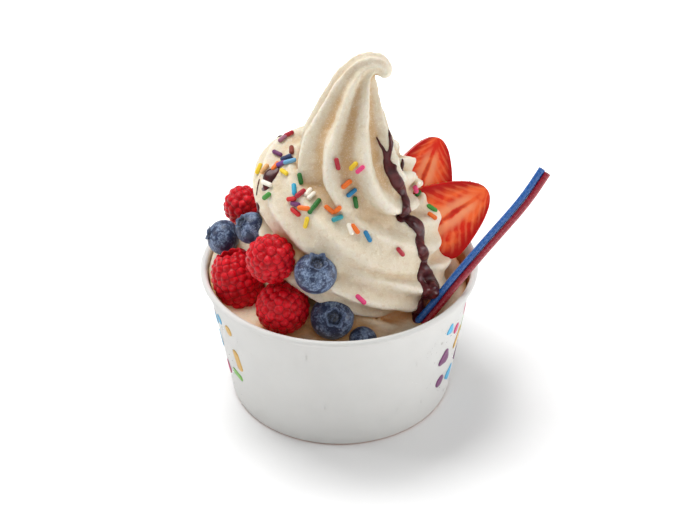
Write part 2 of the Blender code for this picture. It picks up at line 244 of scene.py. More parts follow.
def seatMesh(piece):
    # the object goes back to the origin, and its place stays in its mesh
    piece.data.transform(piece.matrix_basis)
    piece.matrix_basis = Matrix.Identity(4)


def fromRings(name, rings, closedEnds=True):
    # rings of equally many points, in metres, skinned side by side; open-ended rings join up into a loop
    rings = np.asarray(rings, float)
    number, around = rings.shape[:2]
    last = number - 1 if closedEnds else number
    faces = []
    for i in range(last):
        upper = (i + 1) % number
        for k in range(around):
            after = (k + 1) % around
            faces.append((i * around + k, i * around + after, upper * around + after, upper * around + k))
    if closedEnds:
        faces.append(tuple(range(around)))
        faces.append(tuple((number - 1) * around + k for k in range(around)))
    mesh = bpy.data.meshes.new(name)
    mesh.from_pydata(rings.reshape(-1, 3).tolist(), [], faces)
    piece = bpy.data.objects.new(name, mesh)
    bpy.context.scene.collection.objects.link(piece)
    outward(piece)
    return piece


def outward(piece):
    useOnly(piece)
    bpy.ops.object.mode_set(mode="EDIT")
    bpy.ops.mesh.select_all(action="SELECT")
    bpy.ops.mesh.normals_make_consistent(inside=False)
    bpy.ops.object.mode_set(mode="OBJECT")


def finished(piece, material, nodes=(), smooth=True):
    seatMesh(piece)
    piece.data.materials.clear()
    piece.data.materials.append(material)
    if smooth:
        piece.data.shade_smooth()
    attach(piece, "root")
    if nodes:
        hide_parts(*nodes)
    return piece


def eased(rows, at, column):
    # a column's value where the first column is at, on a smooth curve through the rows
    keys = [row[0] for row in rows]
    values = [row[column] for row in rows]
    last = len(rows) - 1
    if at >= keys[last]:
        return values[last]
    i = max([k for k in range(last) if keys[k] <= at], default=0)

    def slope(k):
        low, high = max(k - 1, 0), min(k + 1, last)
        return (values[high] - values[low]) / (keys[high] - keys[low])

    span = keys[i + 1] - keys[i]
    t = (at - keys[i]) / span
    start, end = 2 * t**3 - 3 * t**2 + 1, 3 * t**2 - 2 * t**3
    leave, arrive = t**3 - 2 * t**2 + t, t**3 - t**2
    return start * values[i] + leave * span * slope(i) + end * values[i + 1] + arrive * span * slope(i + 1)


# camera and light

camera = {"target": (0.76, 0.0, 61.07), "distance": 573.4, "elevation": 33.84, "roll": -0.838, "lens": 75.07}


def viewer():
    # the camera's place, in millimetres about the cup's axis
    tilt = math.radians(camera["elevation"])
    return Vector(camera["target"]) + Vector((0, -math.cos(tilt), math.sin(tilt))) * camera["distance"]


def makeCamera():
    tilt, roll = math.radians(camera["elevation"]), math.radians(camera["roll"])
    back = Vector((0, -math.cos(tilt), math.sin(tilt)))
    up = Vector((0, math.sin(tilt), math.cos(tilt)))
    right = Vector((1, 0, 0))
    rolledRight = right * math.cos(roll) + up * math.sin(roll)
    rolledUp = up * math.cos(roll) - right * math.sin(roll)
    bpy.ops.object.camera_add()
    made = bpy.context.object
    made.data.lens = camera["lens"]
    made.data.clip_start = 0.01
    turned = Matrix((rolledRight, rolledUp, back)).transposed().to_4x4()
    turned.translation = place(viewer())
    made.matrix_world = turned
    bpy.context.scene.camera = made


softLights = {     # place and target in millimetres, size in metres, watts
    "keyLight": ((-190, 190, 760), (0, 0, 60), 0.42, 4.8),
    "frontLight": ((20, -470, 400), (0, 0, 50), 0.40, 0.84),
    "leftLight": ((-620, 40, 400), (0, 0, 60), 0.12, 0.7),
    "rightLight": ((640, -60, 150), (0, 0, 50), 0.30, 1.6),
}
backdrop = {"floorTint": (0.96, 0.96, 0.96, 1.0), "floorGlow": 0.50, "glowFrom": 66.0, "glowTo": 205.0,
            "size": 6.0, "front": 0.10, "back": 0.34}


def makeStudio():
    for name, (spot, target, size, watts) in softLights.items():
        bpy.ops.object.light_add(type="AREA", location=place(spot))
        light = bpy.context.object
        light.name = name
        light.data.size = size
        light.data.energy = watts
        light.rotation_euler = (place(target) - place(spot)).to_track_quat("-Z", "Y").to_euler()
    deselect()
    bpy.ops.mesh.primitive_plane_add(size=backdrop["size"], location=cupAxis)
    floor = bpy.context.object
    floor.name = "floor"
    white = Finish("floorWhite", {"Base Color": backdrop["floorTint"], "Roughness": 0.9,
                                  "Specular IOR Level": 0.0, "Emission Strength": backdrop["floorGlow"]})
    # painted light: the floor glows, not at all near the cup and more and more away from it
    away = white.node("VectorMath", {"operation": "LENGTH"}, {0: white.where()}, output="Value")
    paintedGlow = white.rise(away, backdrop["glowFrom"] * mm, backdrop["glowTo"] * mm)
    floor.data.materials.append(white.set({"Emission Color": white.mix((0, 0, 0, 1), (1, 1, 1, 1), paintedGlow)}))
    # the sky is brighter behind the cup than in front of it, as in a light tent open towards the viewer
    world = bpy.data.worlds.new("tent")
    bpy.context.scene.world = world
    world.use_nodes = True
    nodes, links = world.node_tree.nodes, world.node_tree.links
    seen = nodes.new("ShaderNodeTexCoord")
    split = nodes.new("ShaderNodeSeparateXYZ")
    links.new(seen.outputs["Generated"], split.inputs[0])
    spread = nodes.new("ShaderNodeMapRange")
    spread.interpolation_type = "SMOOTHSTEP"
    for socket, value in (("From Min", -0.9), ("From Max", 0.35), ("To Min", backdrop["front"]),
                          ("To Max", backdrop["back"])):
        spread.inputs[socket].default_value = value
    links.new(split.outputs["Y"], spread.inputs["Value"])
    links.new(spread.outputs[0], nodes["Background"].inputs["Strength"])
    nodes["Background"].inputs["Color"].default_value = (1.0, 1.0, 1.0, 1.0)
    bpy.context.scene.view_settings.view_transform = "Standard"


makeCamera()
makeStudio()
print("camera and light")

# paper cup

cup = {
    "footRadius": 45.8,
    "paper": 0.6,
    "rollRadius": 1.3,
    "foldHeight": 7.2,       # doubled paper at the foot
    "foldThickness": 1.4,
    "basePaper": 0.9,
    "turns": 192,            # faces round the wall
    "wallRows": 14,
    "seamBearing": 118.0,    # degrees; the lapped edge, at the back
    "seamWidth": 10.0,       # degrees
    "seamStep": 0.32,
    "waves": 0.14,           # how far the wall is out of round
}


def wallRadius(height):
    # inside of the wall
    top = cupHeight - cup["rollRadius"]
    foot, mouth = cup["footRadius"] - cup["paper"], rimRadius - 2 * cup["rollRadius"]
    return foot + (mouth - foot) * height / top


def cupProfile():
    # (radius, height) from the middle of the base, up the inside, over the roll and down to the foot
    floor, paper = cup["foldHeight"] + cup["basePaper"], cup["paper"]
    top = cupHeight - cup["rollRadius"]
    rollMiddle = rimRadius - cup["rollRadius"]
    inner = wallRadius(0) + paper - cup["foldThickness"]
    profile = [(0.0, floor), (wallRadius(floor) - 4.0, floor), (wallRadius(floor) - 0.6, floor + 0.1)]
    profile.append((wallRadius(floor + 0.8), floor + 0.8))
    for row in range(1, cup["wallRows"]):
        height = floor + (top - floor) * row / cup["wallRows"]
        profile.append((wallRadius(height), height))
    for degrees in range(180, -141, -20):
        turn = math.radians(degrees)
        roll = cup["rollRadius"]
        profile.append((rollMiddle + roll * math.cos(turn), top + roll * math.sin(turn)))
    start = top - 1.9
    for row in range(cup["wallRows"]):
        height = start + (1.5 - start) * row / (cup["wallRows"] - 1)
        profile.append((wallRadius(height) + paper, height))
    profile += [(wallRadius(0) + paper - 0.10, 0.8), (wallRadius(0) + paper - 0.32, 0.3),
                (wallRadius(0) + paper - 0.65, 0.0)]
    profile += [(inner + 0.4, 0.0), (inner + 0.1, 0.2), (inner, 0.6)]
    profile += [(inner + 0.6, cup["foldHeight"] - 0.3), (inner + 0.2, cup["foldHeight"]), (0.0, cup["foldHeight"])]
    return profile


def spun(name, profile, turns):
    # draws the profile point by point and spins it about the cup's axis
    deselect()
    bpy.ops.mesh.primitive_plane_add(size=1.0, location=(0, 0, 0))
    piece = bpy.context.object
    piece.name = name
    bpy.ops.object.mode_set(mode="EDIT")
    bpy.ops.mesh.select_all(action="SELECT")
    bpy.ops.mesh.merge(type="CENTER")
    radius, height = profile[0]
    bpy.ops.transform.translate(value=place((radius, 0, height)))
    for (radius, height), (nextRadius, nextHeight) in zip(profile, profile[1:]):
        step = ((nextRadius - radius) * mm, 0, (nextHeight - height) * mm)
        bpy.ops.mesh.extrude_vertices_move(TRANSFORM_OT_translate={"value": step})
    bpy.ops.mesh.select_all(action="SELECT")
    bpy.ops.mesh.spin(steps=turns, angle=2 * math.pi, center=cupAxis, axis=(0, 0, 1))
    bpy.ops.mesh.select_all(action="SELECT")
    bpy.ops.mesh.remove_doubles(threshold=2e-6)
    bpy.ops.mesh.normals_make_consistent(inside=False)
    bpy.ops.object.mode_set(mode="OBJECT")
    return piece


def paperFinish():
    paper = Finish("cupPaper", {"Roughness": 0.46, "Specular IOR Level": 0.35,
                                "Subsurface Weight": 0.12, "Subsurface Radius": (0.9, 0.8, 0.7),
                                "Subsurface Scale": 0.001})
    fibres = paper.cloud(0.28, detail=4.0, roughness=0.65)
    mottle = paper.cloud(9.0, detail=2.0)
    white = paper.mix((0.70, 0.695, 0.675, 1), (0.66, 0.655, 0.635, 1), mottle)
    # inside, painted warm shade on the paper, blotchy and deeper towards the fill
    inside = paper.attribute("inside")
    film = paper.rise(paper.attribute("film") + 0.5 * (paper.cloud(5.0) - 0.5), -0.05, 0.45)
    tan = paper.mix(paint(212, 158, 100), paint(164, 92, 36), film)
    base = paper.mix(white, tan, inside * film)
    rough = 0.42 + 0.12 * fibres
    return paper.set({"Base Color": base, "Roughness": rough, "Normal": paper.relief(fibres, 0.035)})


def makeCup():
    piece = spun("cup_body", cupProfile(), cup["turns"])
    spots = points(piece)
    across = spots - np.array(cupAxis)
    radius = np.hypot(across[:, 0], across[:, 1])
    bearing = np.degrees(np.arctan2(across[:, 1], across[:, 0]))
    height = spots[:, 2] / mm
    middle = wallRadius(height) + cup["paper"] / 2
    outer = radius / mm > middle
    # the lapped seam stands proud on one side and runs out on the other
    past = (bearing - cup["seamBearing"]) % 360
    seam = np.where(past < cup["seamWidth"], 1 - past / cup["seamWidth"], 0.0)
    waves = np.sin(np.radians(3 * bearing + 40)) + 0.6 * np.sin(np.radians(5 * bearing + 10))
    away = cup["seamStep"] * seam * outer * (height > 0.3)
    away = away + cup["waves"] * waves * np.clip(height / 20, 0, 1) * np.clip((cupHeight - height) / 20, 0, 1)
    scale = 1 + away * mm / np.maximum(radius, 1e-6) * (radius > 0.03)
    spots[:, 0] = cupAxis.x + across[:, 0] * scale
    spots[:, 1] = cupAxis.y + across[:, 1] * scale
    movePoints(piece, spots)
    storeValues(piece, "inside", ((radius / mm < middle) & (height < cupHeight - 2.0)).astype(float))
    # painted shade on the inside of the wall, deeper towards the fill
    storeValues(piece, "film", np.clip(1 - (height - 47.0) / 9.0, 0, 1))
    finished(piece, paperFinish(), ["cup_wall", "cup_base"])
    useOnly(piece)
    bpy.ops.object.shade_smooth_by_angle(angle=math.radians(50))
    return piece


cupBody = makeCup()
print("paper cup")

# printed confetti, in two drifts on opposite sides of the wall

confetti = {
    "drifts": (0.0, 180.0),          # bearings of their middles, degrees
    "halfSpread": 40.0,              # degrees
    "heights": (15.0, 49.0),
    "proud": 0.05,
    "tints": {"plum": (116, 44, 104), "magenta": (205, 40, 110), "gold": (214, 168, 74),
              "green": (112, 180, 62), "sky": (66, 176, 222)},
    "number": 18,                    # in each drift
    "outlinePoints": 32,
    "seed": 7,
}


def onWall(bearing, height, proud):
    radius = wallRadius(height) + cup["paper"] + proud
    turn = math.radians(bearing)
    return place((radius * math.cos(turn), radius * math.sin(turn), height))


def confettiOutline(kind, size, count):
    # soft triangles, dots and short rounded bars
    outline = []
    for k in range(count):
        turn = 2 * math.pi * k / count
        if kind == "bar":
            outline.append((size * 0.36 * math.cos(turn), size * (0.5 * math.copysign(1, math.sin(turn))
                                                                  + 0.36 * math.sin(turn))))
        else:
            reach = size * (1 + 0.16 * math.cos(3 * turn)) if kind == "triangle" else size * 0.85
            outline.append((0.62 * reach * math.cos(turn), 0.62 * reach * math.sin(turn)))
    return outline


def makeConfetti():
    rng = random.Random(confetti["seed"])
    names = list(confetti["tints"])
    verts, faces, tints = [], [], []
    low, high = confetti["heights"]
    for drift in confetti["drifts"]:
        placed = []
        for attempt in range(900):
            along = rng.uniform(-1, 1)
            height = rng.uniform(low, high)
            middle = (low + high) / 2 + 7.0 * math.sin(2.6 * along + drift)
            crowd = 1 - abs(height - middle) / 19.0
            size = (4.6 + 5.4 * max(0.0, crowd) * rng.uniform(0.6, 1.0)) * (1.05 - 0.15 * abs(along))
            if crowd < 0.05:
                continue
            spot = (along * confetti["halfSpread"] * 0.92, height)
            clear = all(math.hypot(spot[0] - p[0], spot[1] - p[1]) > 0.80 * (size + p[2]) for p in placed)
            if not clear or len(placed) >= confetti["number"]:
                continue
            placed.append((spot[0], spot[1], size))
            kind = ("triangle", "dot", "bar")[rng.randrange(3)]
            lean = rng.uniform(0, 2 * math.pi)
            tint = paint(*confetti["tints"][names[rng.randrange(len(names))]])
            outline = confettiOutline(kind, size * 0.86, confetti["outlinePoints"])
            first = len(verts)
            arc = math.degrees(1 / wallRadius(height))
            for share, proud in ((0.0, confetti["proud"]), (0.5, confetti["proud"]), (1.0, confetti["proud"]),
                                 (1.0, -0.05)):
                for x, y in (outline if share else outline[:1]):
                    side = share * (x * math.cos(lean) - y * math.sin(lean))
                    up = share * (x * math.sin(lean) + y * math.cos(lean))
                    verts.append(onWall(drift + spot[0] + side * arc, height + up, proud))
                    tints.append(tint)
            count = confetti["outlinePoints"]
            for k in range(count):
                after = (k + 1) % count
                faces.append((first, first + 1 + k, first + 1 + after))
                for ring in range(2):
                    inner, outer = first + 1 + ring * count, first + 1 + (ring + 1) * count
                    faces.append((inner + k, outer + k, outer + after, inner + after))
    mesh = bpy.data.meshes.new("cup_print")
    mesh.from_pydata(verts, [], faces)
    colours = mesh.color_attributes.new("tint", "FLOAT_COLOR", "POINT")
    colours.data.foreach_set("color", np.array(tints).ravel())
    piece = bpy.data.objects.new("cup_print", mesh)
    bpy.context.scene.collection.objects.link(piece)
    ink = Finish("printInk", {"Roughness": 0.42, "Specular IOR Level": 0.4})
    grain = ink.cloud(0.3)
    base = ink.mix(ink.attribute("tint", "Color"), (0.9, 0.9, 0.88, 1), 0.06 * grain)
    return finished(piece, ink.set({"Base Color": base, "Normal": ink.relief(grain, 0.02)}))


makeConfetti()
print("print")

# condensation on the front of the wall

beads = {"number": 150, "radius": (0.16, 0.60), "bearings": (-165, -15), "heights": (4, 50), "seed": 21}


def makeBeads():
    rng = random.Random(beads["seed"])
    made = []
    for number in range(beads["number"]):
        bearing, height = rng.uniform(*beads["bearings"]), rng.uniform(*beads["heights"])
        radius = beads["radius"][0] + (beads["radius"][1] - beads["radius"][0]) * rng.random() ** 3
        deselect()
        bpy.ops.mesh.primitive_ico_sphere_add(subdivisions=2, radius=radius * mm)
        drop = bpy.context.object
        drop.scale = (1.0, 0.45, rng.uniform(1.0, 1.35))
        drop.rotation_euler = (0, 0, math.radians(bearing + 90))
        drop.location = onWall(bearing, height, 0.0)
        made.append(drop)
    for drop in made:
        drop.data.transform(drop.matrix_basis)
        drop.matrix_basis = Matrix.Identity(4)
    piece = joined("condensation", made)
    water = Finish("water", {"Base Color": (1, 1, 1, 1), "Roughness": 0.04, "IOR": 1.33,
                             "Transmission Weight": 1.0})
    clear = water.rise(water.cloud(2.0), 0.3, 0.7)
    return finished(piece, water.set({"Roughness": 0.03 + 0.05 * clear}))


makeBeads()
print("condensation")

# frozen yogurt: a fill with mounds, and a fluted rope laid in rising turns and drawn up to a hook

swirl = {
    "axis": (5.0, 0.0, 0.0),
    "lean": 0.16,
    "flutes": 8,
    "flutePower": 1.5,
    # turns laid, depth of the flutes as a share of the rope's half width
    "depths": [(-1.20, 0.24), (0.00, 0.20), (0.50, 0.24), (0.85, 0.13), (1.20, 0.13), (1.60, 0.24), (1.78, 0.27)],
    # turns laid, height, distance of the rope from the axis, half width, half height, turn of the flutes
    "laid": [(-1.20, 41.0, 24.0, 14.0, 13.0, -726), (-1.00, 43.0, 25.5, 14.5, 13.0, -657),
             (-0.50, 54.0, 26.5, 15.0, 13.2, -483), (-0.12, 64.0, 25.5, 15.0, 13.2, -352),
             (0.00, 67.5, 26.0, 15.0, 13.2, -310), (0.25, 73.0, 23.5, 15.0, 13.2, -235),
             (0.50, 76.0, 22.0, 15.0, 13.2, -150), (0.85, 77.6, 21.5, 15.2, 14.4, -35),
             (1.00, 81.6, 21.5, 15.4, 15.0, 12), (1.25, 93.5, 22.3, 15.8, 14.8, 95),
             (1.50, 95.0, 16.5, 15.8, 14.2, 180), (1.78, 95.0, 11.0, 17.0, 16.0, 296)],
    # x, y, height, half width, turn of the flutes
    "drawn": [(11.5, -8.0, 96.0, 18.8, 302), (7.0, -8.5, 101.5, 20.3, 306), (4.2, -7.0, 108.5, 21.0, 307),
              (3.8, -5.5, 116.0, 19.0, 307), (4.6, -4.0, 123.5, 16.0, 308), (5.6, -3.5, 131.0, 12.6, 311),
              (7.0, -3.0, 138.8, 9.6, 316), (9.2, -3.0, 144.9, 6.8, 321), (12.3, -3.0, 147.3, 5.0, 323),
              (15.8, -3.0, 147.2, 4.1, 323), (17.4, -3.0, 145.2, 3.6, 323)],
    "ringsATurn": 72,
    "ringsATipStep": 12,
    "ringPoints": 96,
    "voxel": 0.76,
    "creaseRounds": 60,      # of smoothing, to tell ridges from valleys
    "lookSlope": 30.0,       # degrees above level from which toppings are laid on
}
fill = {
    "level": 47.5,
    "wallGap": 0.25,
    "crown": 5.0,
    "edgeDrop": 0.9,
    "mound": (9.0, 176.0, 46.0),             # height, bearing and spread in degrees
    "shelf": (10.0, (-39.0, 12.0), 12.0),    # height, middle and spread
    "belowRim": 2.5,
    "sides": 160,
    "insets": (0.0, 0.4, 1.2, 3.0, 5.5, 8.0, 11.0, 14.0, 19.0, 24.0, 30.0, 37.0, 44.0),
    "floor": 9.2,
    "lowShadeBelow": 55.0,
}


def fillHeight(radius, bearing):
    height, middle, spread = fill["mound"]
    away = math.remainder(bearing - math.radians(middle), 2 * math.pi) / math.radians(spread)
    mound = height * math.exp(-away * away)
    height, spot, spread = fill["shelf"]
    near = (radius * math.cos(bearing), radius * math.sin(bearing))
    shelf = height * math.exp(-((math.dist(near, spot) / spread) ** 2))
    ripple = 0.6 * math.sin(3 * bearing + 0.4) + 0.4 * math.sin(7 * bearing)
    inset = wallRadius(fill["level"]) - radius
    crown = fill["crown"] * inset / wallRadius(fill["level"])
    return min(fill["level"] + mound + shelf + ripple + crown, cupHeight - fill["belowRim"] + inset)


def fillRings():
    bearings = [2 * math.pi * k / fill["sides"] for k in range(fill["sides"])]
    floor = fill["floor"]
    rings = []
    for radius in (6.0, 25.0, wallRadius(floor) - fill["wallGap"]):
        rings.append([place((radius * math.cos(b), radius * math.sin(b), floor)) for b in bearings])
    for inset in fill["insets"]:
        drop = fill["edgeDrop"] if inset == 0.0 else 0.0
        ring = []
        for b in bearings:
            height = fillHeight(wallRadius(fill["level"]) - inset, b) - drop
            radius = wallRadius(height) - fill["wallGap"] - inset
            ring.append(place((radius * math.cos(b), radius * math.sin(b), height)))
        rings.append(ring)
    return rings


def ropeStations():
    # middle, half width, half height and flute turn all along the rope, and how many stations are laid
    rows = swirl["laid"]
    first, last = rows[0][0], rows[-1][0]
    steps = round((last - first) * swirl["ringsATurn"])
    stations = []
    for i in range(steps + 1):
        turns = first + (last - first) * i / steps
        bearing = -math.pi / 2 - 2 * math.pi * turns
        height, away, wide, high, flute = (eased(rows, turns, c) for c in range(1, 6))
        side = away * math.cos(bearing)
        axis = swirl["axis"]
        stations.append((axis[0] + side, axis[1] + away * math.sin(bearing), height - swirl["lean"] * side,
                         wide, high, flute, eased(swirl["depths"], turns, 1)))
    laid = len(stations)
    keys = [stations[-16], stations[-1]]
    depth = swirl["depths"][-1][1]
    keys += [(x, y, z, wide, wide, flute, depth) for x, y, z, wide, flute in swirl["drawn"]]
    keyed = [(number, *row) for number, row in enumerate(keys)]
    for step in range(1, (len(keyed) - 2) * swirl["ringsATipStep"] + 1):
        at = 1 + step / swirl["ringsATipStep"]
        stations.append(tuple(eased(keyed, at, c) for c in range(1, 8)))
    return stations, laid


def ropeRings():
    stations, laid = ropeStations()
    middles = [Vector(row[:3]) for row in stations]
    frames = []
    ahead = upward = None
    for i, (x, y, z, wide, high, flute, depth) in enumerate(stations):
        heading = (middles[min(i + 1, len(middles) - 1)] - middles[max(i - 1, 0)]).normalized()
        if i < laid:
            upward = Vector((0, 0, 1))
        else:
            upward = ahead.rotation_difference(heading) @ upward
        upward = (upward - heading * upward.dot(heading)).normalized()
        ahead = heading
        frames.append((middles[i], upward.cross(heading).normalized(), upward, wide, high, flute, depth))
    middle, side, upward, wide, high, flute, depth = frames[-1]
    for step in range(1, 9):                    # round end of the tip
        bend = step / 8.2 * math.pi / 2
        frames.append((middle + ahead * wide * math.sin(bend), side, upward, wide * math.cos(bend),
                       high * math.cos(bend), flute, depth))
    angles = np.linspace(0, 2 * math.pi, swirl["ringPoints"], endpoint=False)
    rings = []
    for middle, side, up, wide, high, flute, depth in frames:
        crest = (1 + np.cos(swirl["flutes"] * (angles - math.radians(flute)))) / 2
        reach = 1 - depth * (1 - crest ** swirl["flutePower"])
        ring = np.array(middle) + np.outer(wide * reach * np.cos(angles), np.array(side))
        ring = ring + np.outer(high * reach * np.sin(angles), np.array(up))
        rings.append(np.array(cupAxis) + ring * mm)
    return rings


def yogurtRelief(piece):
    # grain and small unevenness, along the surface's own normals
    spots, ways = points(piece), normals(piece)
    lift = np.empty(len(spots))
    for i, spot in enumerate(spots):
        at = Vector(spot) / mm
        lift[i] = 0.42 * noise.noise(at / 9.0) + 0.20 * noise.noise(at / 3.2) + 0.16 * noise.noise(at / 1.5)
    movePoints(piece, spots + ways * (lift * mm)[:, None])


def yogurtFinish():
    cream = Finish("frozenYogurt", {"Specular IOR Level": 0.28, "Subsurface Weight": 0.30,
                                    "Subsurface Radius": (1.0, 0.62, 0.34), "Subsurface Scale": 0.0018})
    grain = cream.cloud(0.5, detail=4.0, roughness=0.72)
    coarse = cream.cloud(1.6, detail=3.0, roughness=0.6)
    drift = cream.cloud(14.0, detail=2.0)
    upper = cream.attribute("upper")
    flecked = cream.mix(paint(236, 225, 203), paint(226, 211, 184), drift)
    # painted shade: the top of the swirl is darker, by height
    light = cream.mix(flecked, paint(214, 202, 178), 0.6 * upper)
    crest = cream.attribute("crest")                        # millimetres, above 0 on a ridge
    # painted shade in the flutes' valleys, stronger higher up
    valley = cream.rise(-crest + 0.5 * (coarse - 0.5), -0.30, 1.2)
    valleyShade = cream.mix(light, paint(198, 160, 112), (0.40 + 0.60 * upper) * valley)
    # painted highlight along the ridges
    ridgeHighlight = cream.mix(valleyShade, paint(248, 243, 230), 0.5 * cream.rise(crest, 0.4, 1.6))
    # painted shade: warm brown where the surface is closed in, browner still in the deepest creases
    deep = cream.attribute("shelter")
    warmShade = cream.mix(ridgeHighlight, paint(216, 174, 120), cream.rise(deep, 0.42, 0.82))
    base = cream.mix(warmShade, paint(190, 126, 72), cream.rise(deep, 0.80, 1.0))
    # painted warm shade on the low fill, where it is closed in
    lowShade = cream.mix(base, paint(224, 170, 112), cream.attribute("low") * cream.rise(deep, 0.25, 0.80))
    pitted = cream.mix(lowShade, paint(205, 178, 138), 0.30 * cream.rise(coarse, 0.52, 0.70))
    frost = cream.mix(pitted, paint(252, 249, 240), 0.45 * cream.rise(grain, 0.52, 0.68) * (1 - deep))
    bumps = cream.relief(grain, 0.25, cream.relief(coarse, 0.45))
    return cream.set({"Base Color": frost, "Roughness": 0.44 + 0.2 * grain, "Normal": bumps})


def makeYogurt():
    rope = fromRings("rope", ropeRings())
    body = fromRings("fill", fillRings())
    piece = joined("yogurt_swirl", [rope, body])
    modify(piece, "REMESH", mode="VOXEL", voxel_size=swirl["voxel"] * mm)
    modify(piece, "SMOOTH", factor=0.5, iterations=2)
    # what the cup hides needs few faces
    useOnly(piece)
    bpy.ops.object.mode_set(mode="EDIT")
    bpy.ops.mesh.select_all(action="DESELECT")
    bpy.ops.object.mode_set(mode="OBJECT")
    centres = np.empty(len(piece.data.polygons) * 3)
    piece.data.polygons.foreach_get("center", centres)
    hidden = centres.reshape(-1, 3)[:, 2] < 43.0 * mm
    piece.data.polygons.foreach_set("select", hidden)
    bpy.ops.object.mode_set(mode="EDIT")
    bpy.ops.mesh.select_mode(type="FACE")
    bpy.ops.mesh.decimate(ratio=0.08)
    bpy.ops.object.mode_set(mode="OBJECT")
    yogurtRelief(piece)
    return piece


yogurt = makeYogurt()
print("yogurt", len(yogurt.data.polygons))


def treeOf(*pieces):
    # one search tree for the triangles of several pieces
    corners, faces = [], []
    for piece in pieces:
        first = len(corners)
        corners += [piece.matrix_world @ v.co for v in piece.data.vertices]
        faces += [[first + i for i in face.vertices] for face in piece.data.polygons]
    return BVHTree.FromPolygons(corners, faces)


yogurtTree = treeOf(yogurt)


def onSwirl(bearing, aim, away=100.0):
    # the yogurt's skin, met by a line that slopes down to a height on the swirl's axis
    turn, slope = math.radians(bearing), math.radians(swirl["lookSlope"])
    way = Vector((math.cos(turn) * math.cos(slope), math.sin(turn) * math.cos(slope), math.sin(slope)))
    start = place(swirl["axis"]) + Vector((0, 0, aim * mm)) + way * away * mm
    spot, normal, _, _ = yogurtTree.ray_cast(start, -way)
    return spot, normal


def onFront(across, height):
    # the yogurt's skin, met by a line from the viewer through a point above the cup's middle line
    start = place(viewer())
    way = (place((across, 0.0, height)) - start).normalized()
    spot, normal, _, _ = yogurtTree.ray_cast(start, way)
    return spot, normal


# chocolate sauce, run down over the yogurt

sauce = {
    # across and height where the line crosses the cup's middle, half width
    "frontRuns": {
        "frontThread": [(15.0, 115.0, 0.4), (16.5, 111.5, 0.6), (17.5, 110.0, 0.7), (18.5, 106.5, 0.9),
                        (19.0, 104.0, 1.4)],
        "sideThread": [(19.5, 118.0, 0.5), (20.5, 113.5, 1.2), (20.5, 110.5, 1.0), (19.5, 106.0, 1.0),
                       (19.0, 104.0, 1.4)],
        "mainRun": [(19.0, 104.0, 1.4), (20.0, 101.5, 1.9), (21.5, 98.0, 2.0), (23.0, 95.0, 2.1),
                    (24.5, 92.0, 2.0), (26.0, 89.0, 2.0), (26.8, 84.0, 1.9), (26.5, 80.0, 2.2),
                    (28.0, 77.5, 2.6), (31.0, 75.0, 2.6), (32.5, 72.0, 2.2), (32.5, 65.5, 2.2),
                    (33.5, 62.5, 2.3), (34.5, 59.5, 2.0), (34.0, 54.5, 1.3)],
        "bulge": [(20.0, 102.0, 1.4), (22.5, 102.0, 0.8)],
        "ledgePool": [(27.0, 81.0, 1.6), (25.0, 79.0, 1.8), (24.5, 77.5, 1.8)],
        "lowerLeft": [(34.0, 55.5, 1.4), (33.2, 51.5, 1.7), (33.0, 48.5, 1.6), (35.0, 44.5, 1.8),
                      (35.5, 41.0, 2.0)],
        "lowerRight": [(34.0, 55.5, 1.6), (35.5, 51.5, 2.2), (37.5, 48.0, 2.8), (38.5, 45.5, 3.0),
                       (38.0, 43.0, 3.2), (36.0, 40.0, 3.0), (34.0, 37.0, 2.8), (33.0, 33.5, 2.6),
                       (32.5, 30.0, 2.3), (32.0, 27.5, 1.8)],
        "drop": [(25.0, 105.0, 0.6), (25.0, 102.5, 0.9), (25.0, 100.0, 0.4)],
        "leftDrop": [(-32.0, 86.5, 0.4), (-31.5, 83.5, 1.2), (-32.0, 80.5, 1.8)],
        "leftLine": [(-30.5, 97.0, 0.45), (-31.5, 93.0, 0.45), (-32.0, 89.5, 0.4)],
        "leftPool": [(-29.5, 92.5, 0.8), (-28.0, 93.5, 1.3), (-27.5, 96.0, 1.8), (-26.5, 98.5, 2.1),
                     (-24.5, 100.5, 1.9), (-23.5, 102.0, 1.1), (-22.0, 104.0, 0.5), (-17.0, 107.0, 0.4)],
    },
    # bearing about the swirl's axis, height that the line aims at, half width
    "backRuns": {
        "backRun": [(-212.0, 90.0, 0.55), (-214.0, 84.0, 1.10), (-211.0, 76.0, 1.70), (-215.0, 68.0, 1.90),
                    (-210.0, 60.0, 1.50), (-213.0, 54.0, 0.90)],
    },
    "step": 0.45,
    "thickness": 0.34,       # of the half width
    "leastThickness": 0.55,
    "spread": 1.22,
    "unevenness": 0.12,
    "voxel": 0.24,
}


def sauceFinish():
    brown = Finish("chocolateSauce", {"Specular IOR Level": 0.30, "Coat Weight": 0.10, "Coat Roughness": 0.08,
                                      "Coat IOR": 1.4})
    thin = brown.cloud(2.6, detail=3.0)
    ripple = brown.cloud(0.9, detail=2.0)
    base = brown.mix(paint(54, 8, 14), paint(94, 30, 32), brown.rise(thin, 0.30, 0.76))
    return brown.set({"Base Color": base, "Roughness": 0.30 + 0.10 * ripple, "Normal": brown.relief(ripple, 0.01)})


